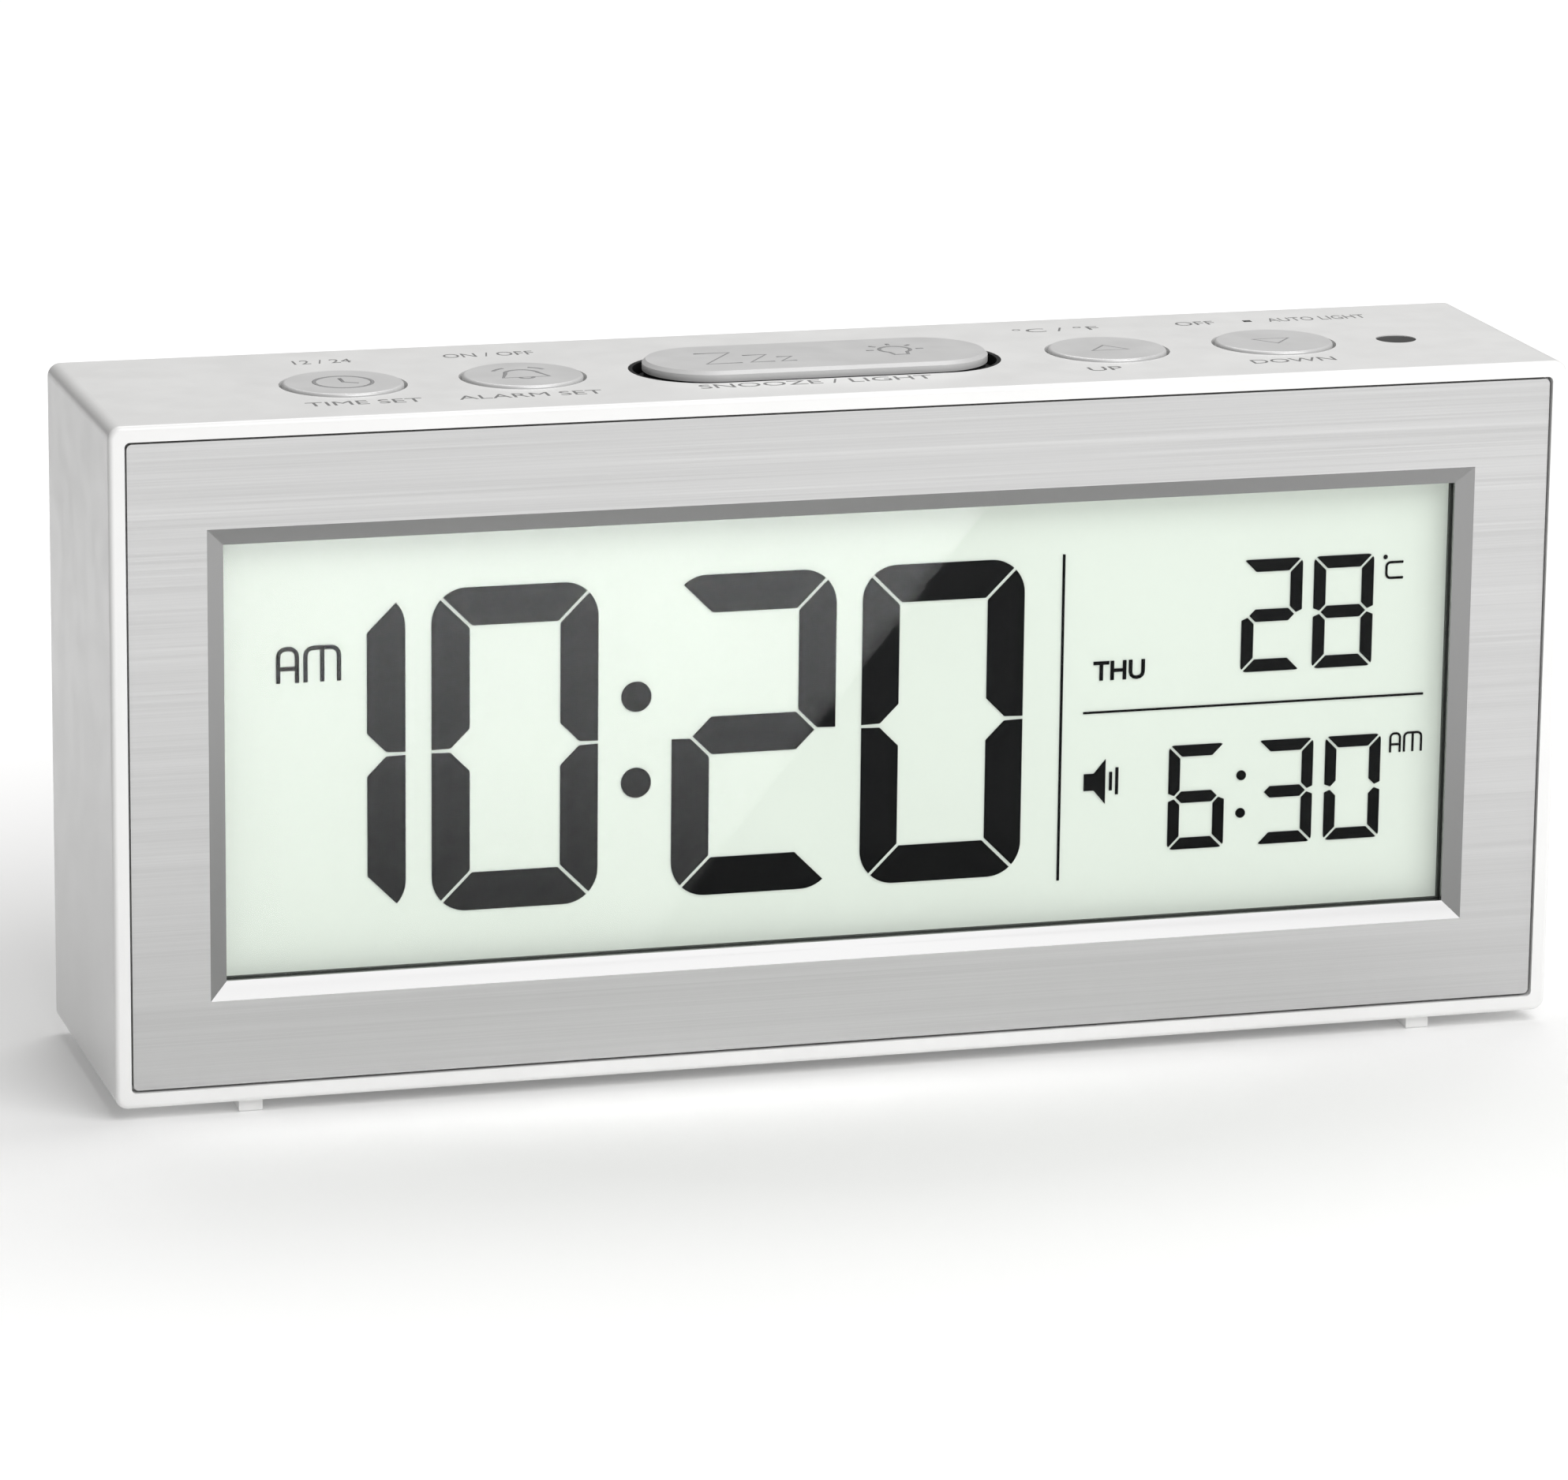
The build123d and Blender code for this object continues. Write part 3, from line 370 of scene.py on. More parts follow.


# ---- display ------------------------------------------------------------------------------
# Two sheets of thin glass with the liquid crystal sealed between them. The rear one carries
# the pale green reflecting film, which also glows faintly as painted light, and the dark bars stand in the
# gap.
film_clear = clear_sheet("film_clear", (0.995, 1.0, 0.995), 1.03, 0.3)
glass_clear = clear_sheet("glass_clear", (0.995, 1.0, 0.995), 1.03, 0.1)
dress("front_polarizer", film_clear)
dress("front_glass", glass_clear)
film_green = Paint("film_green")
film_tone = film_green.span(film_green.noise(18.0, 2.0), 0, 1)
film_green.join(film_green.blend(film_tone, (0.56, 0.59, 0.555), (0.58, 0.605, 0.575)),
                film_green.surface.inputs["Base Color"])
film_green.relief(film_green.noise(4000.0, 2.0), 0.01 * MM, 0.3)
# the film glows faintly though it is no lamp: painted light that lifts it and evens out the shade near the
# window's edges
film_green.set(Roughness=0.6, Specular_IOR_Level=0.1,
               Emission_Color=(0.955, 1.0, 0.945, 1), Emission_Strength=0.30)
for sheet in ("rear_glass", "rear_reflector"):
    dress(sheet, film_green)
dress("display_seal", moulded("seal_epoxy", (0.30, 0.31, 0.30), 0.4))
crystal_ink = moulded("crystal_ink", (0.006, 0.006, 0.0065), 0.6, 1200.0, 0.005)
crystal_ink.set(Specular_IOR_Level=0.0)
for bars in ("time_segments", "temperature_segments", "alarm_segments", "field_marks"):
    dress(bars, crystal_ink)


def as_mesh(curve):
    """A curve or a text, made a closed mesh with its faces outwards."""
    drawn = bpy.data.objects.new("drawn", curve)
    scene.collection.objects.link(drawn)
    seen = drawn.evaluated_get(bpy.context.evaluated_depsgraph_get())
    mesh = bpy.data.meshes.new_from_object(seen)
    bpy.data.objects.remove(drawn)
    bpy.data.curves.remove(curve)
    closed = bmesh.new()
    closed.from_mesh(mesh)
    bmesh.ops.remove_doubles(closed, verts=closed.verts, dist=0.002 * MM)
    bmesh.ops.recalc_face_normals(closed, faces=closed.faces)
    closed.to_mesh(mesh)
    closed.free()
    return mesh


def letters(text, width, height, thick, weight=0.0):
    """Plain lettering of a wanted width and height, about its own middle."""
    curve = bpy.data.curves.new(text, "FONT")
    curve.body = text
    curve.offset = weight
    curve.resolution_u = 3
    curve.extrude = 0.1
    mesh = as_mesh(curve)
    lows = [min(v.co[axis] for v in mesh.vertices) for axis in range(3)]
    highs = [max(v.co[axis] for v in mesh.vertices) for axis in range(3)]
    fit = [want / (high - low) for want, low, high in zip((width, height, thick), lows, highs)]
    middle = Vector([(low + high) / 2 for low, high in zip(lows, highs)])
    mesh.transform(Matrix.Diagonal((*fit, 1)) @ Matrix.Translation(-middle))
    return mesh


def strokes(lines, width, thick):
    """Printed lines of one width; each line is a list of points in mm, and may close on itself."""
    curve = bpy.data.curves.new("strokes", "CURVE")
    curve.dimensions = "3D"
    curve.bevel_depth = width / 2
    curve.bevel_resolution = 1
    curve.use_fill_caps = True
    for line in lines:
        closes = line[0] == line[-1]
        points = line[:-1] if closes else line
        spline = curve.splines.new("POLY")
        spline.points.add(len(points) - 1)
        for point, (x, y) in zip(spline.points, points):
            point.co = (x * MM, y * MM, 0, 1)
        spline.use_cyclic_u = closes
    mesh = as_mesh(curve)
    mesh.transform(Matrix.Diagonal((1, 1, thick / width, 1)))
    return mesh


def arc(x, y, radius, start, end, steps=12):
    """Points along an arc, its angles in degrees from the right, anticlockwise."""
    angles = [math.radians(start + (end - start) * i / steps) for i in range(steps + 1)]
    return [(x + radius * math.cos(angle), y + radius * math.sin(angle)) for angle in angles]


def ring(x, y, radius, steps=24):
    """A closed circle of points."""
    points = arc(x, y, radius, 0, 360, steps)
    return points[:-1] + points[:1]


X, Y, Z = Vector((1, 0, 0)), Vector((0, 1, 0)), Vector((0, 0, 1))


def set_down(name, mesh, place, across, up, paint, body="case"):
    """Lay a flat mesh on a surface: its x goes across, its y goes up, and it faces outwards."""
    turn = Matrix((across, up, across.cross(up))).transposed().to_4x4()
    mesh.transform(Matrix.Translation(place) @ turn)
    mesh.materials.clear()
    mesh.materials.append(paint.material)
    piece = bpy.data.objects.new(name, mesh)
    scene.collection.objects.link(piece)
    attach(piece, body)


# the words stand in the same gap as the digits, placed in mm from the window's upper left corner
bars_low, bars_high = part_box("time_segments")
crystal_y = (bars_low.y + bars_high.y) / 2
crystal_t = bars_high.y - bars_low.y
window_w = 144.2 * MM
window_h = 49.8 * MM
lens_middle = (lens_low + lens_high) / 2
window_corner = Vector((lens_middle.x - window_w / 2, crystal_y, lens_middle.z + window_h / 2))


def morning_sign(left, top, width, height):
    """AM in round-cornered strokes: an arch with a crossbar, and an arch with three legs."""
    a_right = left + width * 0.31
    m_left = left + width * 0.45
    right = left + width
    middle = (m_left + right) / 2
    foot = top + height
    bend = width * 0.13
    arch = [(left, -foot), *arc(left + bend, -top - bend, bend, 180, 90, 5),
            *arc(a_right - bend, -top - bend, bend, 90, 0, 5), (a_right, -foot)]
    crossbar = [(left, -top - height * 0.58), (a_right, -top - height * 0.58)]
    legs = [(m_left, -foot), *arc(m_left + bend, -top - bend, bend, 180, 90, 5),
            *arc(right - bend, -top - bend, bend, 90, 0, 5), (right, -foot)]
    return [arch, crossbar, legs, [(middle, -top), (middle, -foot)]]


display_signs = {
    "morning_sign": strokes(morning_sign(6.7, 12.9, 6.9, 3.9), 0.5 * MM, crystal_t),
    "alarm_morning_sign": strokes(morning_sign(138.4, 30.15, 3.8, 2.25), 0.28 * MM, crystal_t),
    "degree_sign": strokes([ring(137.1, -9.05, 0.14, 8),
                            [(139.3, -9.7), *arc(137.75, -10.2, 0.5, 90, 180, 4),
                             *arc(137.75, -11.05, 0.5, 180, 270, 4), (139.3, -11.55)]],
                           0.3 * MM, crystal_t),
}
for name, mesh in display_signs.items():
    set_down(name, mesh, window_corner, X, Z, crystal_ink)
day_place = window_corner + Vector((105.0 * MM, 0, -20.7 * MM))
set_down("day_sign", letters("THU", 6.2 * MM, 2.3 * MM, crystal_t, 0.02), day_place, X, Z,
         crystal_ink)

dress("light_guide", moulded("guide_acrylic", (0.9, 0.93, 0.9), 0.15))
dress("backlight_lamps", moulded("lamp_package", (0.85, 0.83, 0.6), 0.3))
dress("display_tray", moulded("tray_white", (0.82, 0.82, 0.8), 0.45))
zebra = Paint("zebra_rubber")
layers = zebra.add("ShaderNodeTexWave", wave_type="BANDS", bands_direction="X")
layers.inputs["Scale"].default_value = 900.0
zebra.join(zebra.place, layers.inputs["Vector"])
zebra.join(zebra.blend(layers.outputs["Fac"], (0.05, 0.05, 0.06), (0.5, 0.55, 0.65)),
           zebra.surface.inputs["Base Color"])
zebra.set(Roughness=0.6)
dress("zebra_strip", zebra)


# ---- boards and their parts ---------------------------------------------------------------
# Glass-fibre laminate under green solder mask, with copper tracks that show through it, and
# the chip under a blob of black epoxy.
board_green = Paint("board_green")
tracks = board_green.add("ShaderNodeTexBrick")
tracks.inputs["Scale"].default_value = 160.0
tracks.inputs["Mortar Size"].default_value = 0.03
board_green.join(board_green.place, tracks.inputs["Vector"])
board_green.join(board_green.blend(tracks.outputs["Fac"], (0.02, 0.16, 0.06), (0.05, 0.30, 0.12)),
                 board_green.surface.inputs["Base Color"])
board_green.set(Roughness=0.35)
for board in ("main_board", "key_board"):
    dress(board, board_green)
dress("clock_chip", moulded("chip_epoxy", (0.02, 0.02, 0.02), 0.2))
dress("thermistor", moulded("thermistor_epoxy", (0.03, 0.02, 0.02), 0.25))
dress("quartz_crystal", brushed_metal("crystal_can", (0.75, 0.75, 0.75), 2, 0.25))
dress("capacitors", moulded("capacitor_sleeve", (0.03, 0.04, 0.16), 0.25))
dress("resistors", moulded("resistor_body", (0.04, 0.04, 0.045), 0.3))
dress("lead_headers", moulded("header_nylon", (0.85, 0.82, 0.72), 0.45))
dress("light_sensor", moulded("sensor_package", (0.1, 0.1, 0.12), 0.2))
black_moulding = moulded("black_moulding", (0.012, 0.012, 0.013), 0.6)
black_moulding.set(Specular_IOR_Level=0.2)
# the slot liner and the snooze frame are black so that the gaps round the snooze bar look black; the liner
# also stands in for the shade deep in the slot, a painted shade
for part in ("key_carrier", "snooze_frame", "slot_liner", "switch_housings", "alarm_switch_body"):
    dress(part, black_moulding)
rod_white = moulded("rod_white", (0.75, 0.75, 0.72), 0.5)
for body in ("time", "alarm", "up", "down", "snooze"):
    dress(f"{body}_plunger", rod_white)
dress("key_ribbon", moulded("ribbon_film", (0.7, 0.7, 0.66), 0.3))


def node_tree(name, inputs):
    """An empty geometry tree with named inputs, each (name, kind, value), and one mesh output."""
    tree = bpy.data.node_groups.new(name, "GeometryNodeTree")
    for label, kind, value in inputs:
        socket = tree.interface.new_socket(label, in_out="INPUT", socket_type=kind)
        if kind != "NodeSocketMaterial":
            socket.default_value = value
    tree.interface.new_socket("Mesh", in_out="OUTPUT", socket_type="NodeSocketGeometry")
    return tree, tree.nodes.new("NodeGroupInput"), tree.nodes.new("NodeGroupOutput")


def placed(tree, shape, given, end=""):
    """The shape, turned and moved by the tree's inputs Turn and Place, or by those of one end."""
    laid = tree.nodes.new("GeometryNodeTransform")
    tree.links.new(shape, laid.inputs["Geometry"])
    tree.links.new(given.outputs[f"Place{end}"], laid.inputs["Translation"])
    tree.links.new(given.outputs[f"Turn{end}"], laid.inputs["Rotation"])
    return laid.outputs["Geometry"]


def finished(tree, shape, given, made):
    """End a tree: the shape becomes real geometry in the given finish."""
    real = tree.nodes.new("GeometryNodeRealizeInstances")
    tree.links.new(shape, real.inputs["Geometry"])
    finish = tree.nodes.new("GeometryNodeSetMaterial")
    tree.links.new(real.outputs["Geometry"], finish.inputs["Geometry"])
    tree.links.new(given.outputs["Finish"], finish.inputs["Material"])
    tree.links.new(finish.outputs["Geometry"], made.inputs["Mesh"])


def grow(name, tree, values):
    """Run a geometry tree with these values and keep its result as a plain piece of the case."""
    maker = bpy.data.objects.new(name, bpy.data.meshes.new(name))
    scene.collection.objects.link(maker)
    modifier = maker.modifiers.new("shape", "NODES")
    modifier.node_group = tree
    for item in tree.interface.items_tree:
        if item.in_out == "INPUT" and item.name in values:
            modifier[item.identifier] = values[item.name]
    mesh = bpy.data.meshes.new_from_object(maker.evaluated_get(bpy.context.evaluated_depsgraph_get()))
    maker.modifiers.remove(modifier)
    maker.data = mesh
    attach(maker, "case")
    return maker


# rows of solder joints, each a low dome, no two quite the same size
solder = brushed_metal("solder_tin", (0.72, 0.72, 0.74), 0, 0.22)
solder_tree, given, made = node_tree("solder_rows", [
    ("Columns", "NodeSocketInt", 2), ("Rows", "NodeSocketInt", 2),
    ("Width", "NodeSocketFloat", 0.01), ("Height", "NodeSocketFloat", 0.01),
    ("Radius", "NodeSocketFloat", 0.0007), ("Place", "NodeSocketVector", (0, 0, 0)),
    ("Turn", "NodeSocketVector", (0, 0, 0)), ("Seed", "NodeSocketInt", 5),
    ("Finish", "NodeSocketMaterial", None)])
link = solder_tree.links.new
grid = solder_tree.nodes.new("GeometryNodeMeshGrid")
link(given.outputs["Width"], grid.inputs["Size X"])
link(given.outputs["Height"], grid.inputs["Size Y"])
link(given.outputs["Columns"], grid.inputs["Vertices X"])
link(given.outputs["Rows"], grid.inputs["Vertices Y"])
dome = solder_tree.nodes.new("GeometryNodeMeshUVSphere")
dome.inputs["Segments"].default_value = 10
dome.inputs["Rings"].default_value = 6
link(given.outputs["Radius"], dome.inputs["Radius"])
size = solder_tree.nodes.new("FunctionNodeRandomValue")
size.data_type = "FLOAT_VECTOR"
size.inputs["Min"].default_value = (0.85, 0.85, 0.5)
size.inputs["Max"].default_value = (1.15, 1.15, 0.8)
link(given.outputs["Seed"], size.inputs["Seed"])
scatter = solder_tree.nodes.new("GeometryNodeInstanceOnPoints")
link(grid.outputs["Mesh"], scatter.inputs["Points"])
link(dome.outputs["Mesh"], scatter.inputs["Instance"])
link(size.outputs["Value"], scatter.inputs["Scale"])
finished(solder_tree, placed(solder_tree, scatter.outputs["Instances"], given), given, made)

main_low, main_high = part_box("main_board")
keys_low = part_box("key_board")[0]
quarter_turn = math.pi / 2
pin_pitch = 2.54 * MM
key_joint_pitch = 5.0 * MM
grow("main_board_joints", solder_tree, {
    "Columns": 18, "Rows": 2, "Width": 17 * pin_pitch, "Height": pin_pitch, "Radius": 0.75 * MM,
    "Place": (-42 * MM, main_high.y, main_low.z + 9 * MM), "Turn": (quarter_turn, 0, 0), "Seed": 5,
    "Finish": solder.material})
grow("key_board_joints", solder_tree, {
    "Columns": 26, "Rows": 2, "Width": 25 * key_joint_pitch, "Height": 6.5 * MM, "Radius": 0.7 * MM,
    "Place": (2.75 * MM, -1.2 * MM, keys_low.z), "Turn": (0, 0, 0), "Seed": 9,
    "Finish": solder.material})


# ---- keys and snooze bar ------------------------------------------------------------------
# Moulded in ABS and painted silver, each with its sign printed in a darker grey. The bar is a
# long cap pressed onto a black frame.
key_silver = moulded("key_silver", (0.71, 0.71, 0.71), 0.38, 2200.0, 0.02)
key_silver.set(Metallic=0.25)
sign_grey = moulded("sign_grey", (0.30, 0.30, 0.305), 0.5, 2200.0, 0.005)
print_t = 0.02 * MM
sign_w = 0.45 * MM
bulb = (9.6, 0.6)
key_signs = {
    "time_key": [ring(0, 0, 3.3), [(0, 2.1), (0, 0), (1.6, -0.9)]],
    "alarm_key": [[(-2.7, -1.8), *arc(0, 0.5, 1.9, 180, 0, 12), (2.7, -1.8), (-2.7, -1.8)],
                  arc(0, -1.8, 0.8, 180, 360, 6), arc(0, 0.5, 3.4, 150, 115, 5), arc(0, 0.5, 3.4, 65, 30, 5)],
    "up_key": [[(-2.2, -1.2), (0, 1.6), (2.2, -1.2), (-2.2, -1.2)]],
    "down_key": [[(-2.2, 1.2), (0, -1.6), (2.2, 1.2), (-2.2, 1.2)]],
    "snooze_bar": [*[[(left, top), (right, top), (left, -3.0), (right, -3.0)]
                     for left, right, top in ((-13.6, -9.4, 3.0), (-8.4, -5.6, 1.0), (-4.8, -3.0, -0.6))],
                   [*arc(*bulb, 1.8, 235, -55, 14), (10.4, -2.3), (8.8, -2.3), arc(*bulb, 1.8, 235, -55)[0]],
                   *[[arc(*bulb, 2.5, turn, turn)[0], arc(*bulb, 3.4, turn, turn)[0]]
                     for turn in (0, 45, 90, 135, 180)]],
}
for key, lines in key_signs.items():
    dress(key, key_silver)
    low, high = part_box(key)
    on_top = Vector(((low.x + high.x) / 2, (low.y + high.y) / 2, high.z))
    set_down(f"{key}_sign", strokes(lines, sign_w, print_t), on_top, X, Y, sign_grey, key)
dress("sensor_window", moulded("sensor_smoke", (0.008, 0.008, 0.009), 0.3))


# ---- printed legends ----------------------------------------------------------------------
# Small words silk-screened in grey ink on the top of the case, behind and before each control.
# A dark square stands between two of them.
legend_grey = moulded("legend_grey", (0.20, 0.20, 0.20), 0.5, 2200.0, 0.005)
legend_h = 2.1 * MM
top_rows = {"back": shell_high.y - 6.5 * MM, "front": shell_high.y - 30.0 * MM}
# each word: its row, and its left and right ends in mm from the middle of the clock
legends = {
    "12 / 24": ("back", -57.9, -51.2),
    "TIME SET": ("front", -61.4, -48.2),
    "ON / OFF": ("back", -40.4, -29.8),
    "ALARM SET": ("front", -44.2, -27.6),
    "SNOOZE / LIGHT": ("front", -16.4, 10.9),
    "\u00b0C / \u00b0F": ("back", 27.9, 38.3),
    "UP": ("front", 29.5, 33.5),
    "OFF": ("back", 47.8, 52.6),
    "AUTO LIGHT": ("back", 59.2, 71.4),
    "DOWN": ("front", 49.1, 59.1),
}
for count, (text, (row, left, right)) in enumerate(legends.items(), 1):
    place = Vector(((left + right) / 2 * MM, top_rows[row], shell_high.z))
    set_down(f"legend_{count}", letters(text, (right - left) * MM, legend_h, print_t), place, X, Y,
             legend_grey)
mark_ink = moulded("mark_ink", (0.03, 0.03, 0.03), 0.5, 2200.0, 0.005)
auto_mark = strokes([[(-0.5, 0), (0.5, 0)]], 1.0 * MM, print_t)
mark_place = Vector((56.7 * MM, top_rows["back"], shell_high.z))
set_down("auto_mark", auto_mark, mark_place, X, Y, mark_ink)


# ---- rear cover and battery door ----------------------------------------------------------
# White ABS like the case, with the mould's spark texture, so that it looks duller. The switch
# and the door have small printed legends.
cover_white = moulded("cover_white", (0.80, 0.80, 0.805), 0.5, 1600.0, 0.05)
for part in ("rear_cover", "battery_door"):
    dress(part, cover_white)
dress("alarm_switch_knob", moulded("knob_black", (0.02, 0.02, 0.02), 0.4))
screw_steel = brushed_metal("screw_steel", (0.62, 0.62, 0.62), 0, 0.35)
for screws in ("cover_screws", "board_screws", "carrier_screws"):
    dress(screws, screw_steel)

cover_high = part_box("rear_cover")[1]
door_low, door_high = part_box("battery_door")
switch_low, switch_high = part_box("alarm_switch_body")
switch_x = (switch_low.x + switch_high.x) / 2
switch_z = (switch_low.z + switch_high.z) / 2
door_x = (door_low.x + door_high.x) / 2
rear_legend_h = 1.8 * MM
# each word: the x and z of its middle, and its width in mm
rear_words = {
    "ALARM": (switch_x, switch_z + 6.2 * MM, 9.0),
    "ON": (switch_x + 10.5 * MM, switch_z, 3.6),
    "OFF": (switch_x - 10.8 * MM, switch_z, 4.6),
}
for text, (x, z, width) in rear_words.items():
    set_down(f"rear_legend_{text.lower()}", letters(text, width * MM, rear_legend_h, print_t),
             Vector((x, cover_high.y - print_t / 2, z)), -X, Z, legend_grey)
door_face = Vector((door_x, door_high.y - print_t / 2, door_high.z - 12.5 * MM))
set_down("door_legend", letters("OPEN", 8.0 * MM, rear_legend_h, print_t), door_face, -X, Z,
         legend_grey, "battery_door")
set_down("door_arrow", strokes([[(-2.2, 1.4), (0, -1.4), (2.2, 1.4), (-2.2, 1.4)]], 0.4 * MM, print_t),
         door_face - Z * 4.6 * MM, -X, Z, legend_grey, "battery_door")


# ---- batteries and contacts ---------------------------------------------------------------
# Two AA cells, steel cans in a plain shrunk wrap, lie head to tail. Each flat end rests on a
# conical spring wound from nickel-plated wire, and each tip on a plate.
def turned(profile, start, towards, steps=48):
    """A solid turned about an axis from start; the profile is closed, in (along, radius) mm."""
    shape = bmesh.new()
    side = Z if abs(towards.z) < 0.5 else X
    other = towards.cross(side)
    rings = []
    for step in range(steps):
        angle = 2 * math.pi * step / steps
        outward = side * math.cos(angle) + other * math.sin(angle)
        rings.append([shape.verts.new(start + towards * along * MM + outward * radius * MM)
                      for along, radius in profile])
    for ring_a, ring_b in zip(rings, rings[1:] + rings[:1]):
        for i in range(len(profile)):
            k = (i + 1) % len(profile)
            if profile[i][1] or profile[k][1]:
                shape.faces.new((ring_a[i], ring_a[k], ring_b[k], ring_b[i]))
    bmesh.ops.remove_doubles(shape, verts=shape.verts, dist=0.001 * MM)
    bmesh.ops.recalc_face_normals(shape, faces=shape.faces)
    return shape


def turned_piece(name, profile, axes, paint):
    """One piece of several solids turned from the same profile."""
    whole = bpy.data.meshes.new(name)
    gathered = bmesh.new()
    for start, towards in axes:
        one = turned(profile, start, towards)
        one.to_mesh(whole)
        one.free()
        gathered.from_mesh(whole)
    for face in gathered.faces:
        face.smooth = True
    gathered.to_mesh(whole)
    gathered.free()
    whole.set_sharp_from_angle(angle=math.radians(35))
    whole.materials.append(paint.material)
    piece = bpy.data.objects.new(name, whole)
    scene.collection.objects.link(piece)
    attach(piece, "case")
    return piece


cells_low, cells_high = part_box("battery_cells")
cell_r = 7.25
cell_y = (cells_low.y + cells_high.y) / 2
lower_z = cells_low.z + cell_r * MM
upper_z = cells_high.z - cell_r * MM
cell_axes = [(Vector((cells_low.x, cell_y, lower_z)), X), (Vector((cells_high.x, cell_y, upper_z)), -X)]
# the wrap is rolled in over both ends of the can; the can's tip stands out of it
wrap_profile = [(0.35, 6.3), (0.1, 6.5), (0.1, 6.9), (0.5, cell_r), (48.9, cell_r), (49.4, 6.9),
                (49.4, 6.5), (49.1, 6.3), (49.1, 6.8), (0.35, 6.8)]
can_profile = [(0.0, 0), (0.0, 4.3), (0.3, 4.7), (0.3, 6.75), (49.05, 6.75), (49.05, 5.4),
               (49.5, 5.0), (49.5, 3.0), (50.2, 2.75), (50.45, 2.5), (50.5, 0)]
cell_wrap = Paint("cell_wrap")
wear = cell_wrap.span(cell_wrap.noise(300.0, 4.0), 0, 1)
cell_wrap.join(cell_wrap.blend(wear, (0.05, 0.085, 0.15), (0.06, 0.10, 0.17)),
               cell_wrap.surface.inputs["Base Color"])
cell_wrap.join(cell_wrap.span(cell_wrap.noise(120.0, 2.0), 0.22, 0.32),
               cell_wrap.surface.inputs["Roughness"])
cell_wrap.set(Coat_Weight=0.4, Coat_Roughness=0.1)
contact_nickel = brushed_metal("contact_nickel", (0.7, 0.69, 0.66), 2, 0.3)
cell_cans = turned_piece("cell_cans", can_profile, cell_axes, contact_nickel)
turned_piece("cell_wraps", wrap_profile, cell_axes, cell_wrap)
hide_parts("battery_cells")
dress("contact_plates", contact_nickel)

spring_tree, given, made = node_tree("wound_springs", [
    ("Wire Radius", "NodeSocketFloat", 0.0003), ("Turns", "NodeSocketFloat", 3.0),
    ("Wide Radius", "NodeSocketFloat", 0.004), ("Narrow Radius", "NodeSocketFloat", 0.003),
    ("Length", "NodeSocketFloat", 0.002), ("Place A", "NodeSocketVector", (0, 0, 0)),
    ("Turn A", "NodeSocketVector", (0, 0, 0)), ("Place B", "NodeSocketVector", (0, 0, 0)),
    ("Turn B", "NodeSocketVector", (0, 0, 0)), ("Finish", "NodeSocketMaterial", None)])
link = spring_tree.links.new
coil = spring_tree.nodes.new("GeometryNodeCurveSpiral")
coil.inputs["Resolution"].default_value = 32
link(given.outputs["Turns"], coil.inputs["Rotations"])
link(given.outputs["Wide Radius"], coil.inputs["Start Radius"])
link(given.outputs["Narrow Radius"], coil.inputs["End Radius"])
link(given.outputs["Length"], coil.inputs["Height"])
wire = spring_tree.nodes.new("GeometryNodeCurvePrimitiveCircle")
wire.inputs["Resolution"].default_value = 10
link(given.outputs["Wire Radius"], wire.inputs["Radius"])
swept = spring_tree.nodes.new("GeometryNodeCurveToMesh")
swept.inputs["Fill Caps"].default_value = True
link(coil.outputs["Curve"], swept.inputs["Curve"])
link(wire.outputs["Curve"], swept.inputs["Profile Curve"])
pair = spring_tree.nodes.new("GeometryNodeJoinGeometry")
for end in (" A", " B"):
    link(placed(spring_tree, swept.outputs["Mesh"], given, end), pair.inputs["Geometry"])
finished(spring_tree, pair.outputs["Geometry"], given, made)

springs_low, springs_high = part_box("battery_springs")
wire_r = 0.3 * MM
spring_room = cells_low.x - springs_low.x
wound = grow("wound_springs", spring_tree, {
    "Wire Radius": wire_r, "Turns": 3.0, "Wide Radius": 4.2 * MM, "Narrow Radius": 2.9 * MM,
    "Length": spring_room - 2 * wire_r,
    "Place A": (springs_low.x + wire_r, cell_y, lower_z), "Turn A": (0, quarter_turn, 0),
    "Place B": (springs_high.x - wire_r, cell_y, upper_z), "Turn B": (0, -quarter_turn, 0),
    "Finish": contact_nickel.material})
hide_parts("battery_springs")


# ---- speaker and leads --------------------------------------------------------------------
# A film-cone speaker in a steel basket, wired to the main board beside the battery leads. A
# black cloth of crossed threads keeps dust out of the grille.
dress("speaker_basket", brushed_metal("basket_steel", (0.6, 0.6, 0.6), 0, 0.4))
dress("speaker_magnet", moulded("magnet_ferrite", (0.09, 0.09, 0.09), 0.45))
dress("speaker_diaphragm", moulded("cone_film", (0.6, 0.58, 0.5), 0.3))
wire_red = moulded("wire_red", (0.45, 0.02, 0.02), 0.45)
for leads in ("speaker_leads", "battery_leads"):
    dress(leads, wire_red)

cloth_black = moulded("cloth_black", (0.02, 0.02, 0.022), 0.7, 6000.0, 0.02)
cloth_tree, given, made = node_tree("grille_cloth", [
    ("Radius", "NodeSocketFloat", 0.0125), ("Thread", "NodeSocketFloat", 0.0001),
    ("Count", "NodeSocketInt", 49), ("Place", "NodeSocketVector", (0, 0, 0)),
    ("Turn", "NodeSocketVector", (0, 0, 0)), ("Finish", "NodeSocketMaterial", None)])
link = cloth_tree.links.new


def sums(tree, operation, *terms):
    """A Math node on sockets or plain numbers."""
    node = tree.nodes.new("ShaderNodeMath")
    node.operation = operation
    for socket, term in zip(node.inputs, terms):
        if isinstance(term, (int, float)):
            socket.default_value = term
        else:
            tree.links.new(term, socket)
    return node.outputs[0]


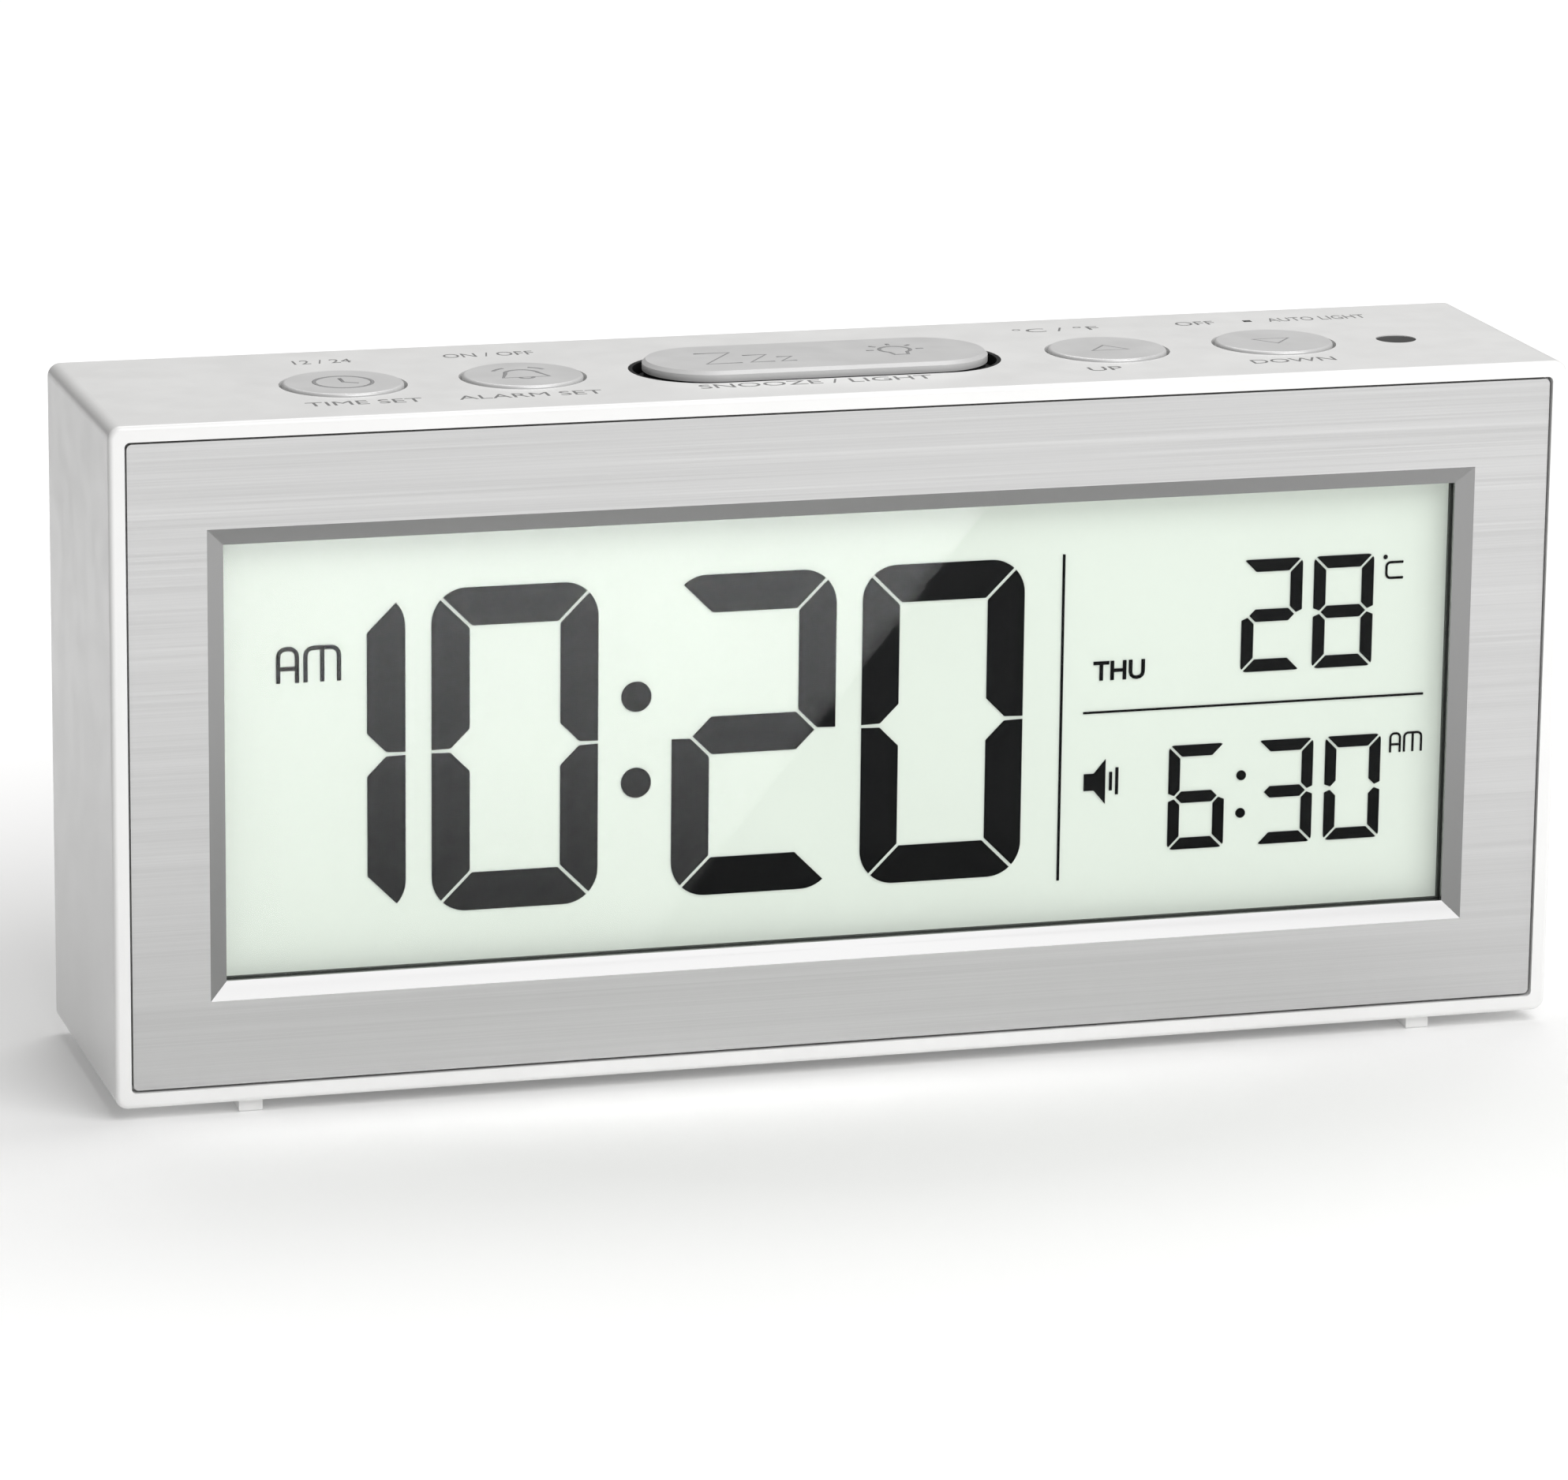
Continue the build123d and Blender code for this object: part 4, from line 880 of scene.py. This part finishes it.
radius = given.outputs["Radius"]
rows = cloth_tree.nodes.new("GeometryNodeMeshLine")
rows.mode = "END_POINTS"
row_end = cloth_tree.nodes.new("ShaderNodeCombineXYZ")
link(sums(cloth_tree, "MULTIPLY", radius, 0.98), row_end.inputs["X"])
row_start = cloth_tree.nodes.new("ShaderNodeCombineXYZ")
link(sums(cloth_tree, "MULTIPLY", radius, -0.98), row_start.inputs["X"])
link(given.outputs["Count"], rows.inputs["Count"])
link(row_start.outputs[0], rows.inputs["Start Location"])
link(row_end.outputs[0], rows.inputs["Offset"])
here = cloth_tree.nodes.new("ShaderNodeSeparateXYZ")
link(cloth_tree.nodes.new("GeometryNodeInputPosition").outputs[0], here.inputs[0])
squares = [sums(cloth_tree, "MULTIPLY", value, value) for value in (radius, here.outputs["X"])]
chord = sums(cloth_tree, "MULTIPLY", sums(cloth_tree, "SQRT", sums(cloth_tree, "SUBTRACT", *squares)), 2.0)
reach = cloth_tree.nodes.new("ShaderNodeCombineXYZ")
reach.inputs["X"].default_value = 1.0
reach.inputs["Y"].default_value = 1.0
link(chord, reach.inputs["Z"])
thread = cloth_tree.nodes.new("GeometryNodeMeshCylinder")
thread.inputs["Vertices"].default_value = 6
thread.inputs["Depth"].default_value = 1.0
link(given.outputs["Thread"], thread.inputs["Radius"])
warp = cloth_tree.nodes.new("GeometryNodeInstanceOnPoints")
link(rows.outputs["Mesh"], warp.inputs["Points"])
link(thread.outputs["Mesh"], warp.inputs["Instance"])
link(reach.outputs[0], warp.inputs["Scale"])
weft = cloth_tree.nodes.new("GeometryNodeTransform")
link(warp.outputs["Instances"], weft.inputs["Geometry"])
weft.inputs["Rotation"].default_value = (0, quarter_turn, 0)
lift = cloth_tree.nodes.new("ShaderNodeCombineXYZ")
link(given.outputs["Thread"], lift.inputs["Y"])
link(lift.outputs[0], weft.inputs["Translation"])
crossed = cloth_tree.nodes.new("GeometryNodeJoinGeometry")
link(warp.outputs["Instances"], crossed.inputs["Geometry"])
link(weft.outputs["Geometry"], crossed.inputs["Geometry"])
finished(cloth_tree, placed(cloth_tree, crossed.outputs["Geometry"], given), given, made)

basket_low, basket_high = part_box("speaker_basket")
basket_middle = (basket_low + basket_high) / 2
grow("grille_cloth", cloth_tree, {
    "Radius": 12.5 * MM, "Thread": 0.12 * MM, "Count": 49,
    "Place": (basket_middle.x, basket_high.y - 0.4 * MM, basket_middle.z), "Turn": (0, 0, 0),
    "Finish": cloth_black.material})
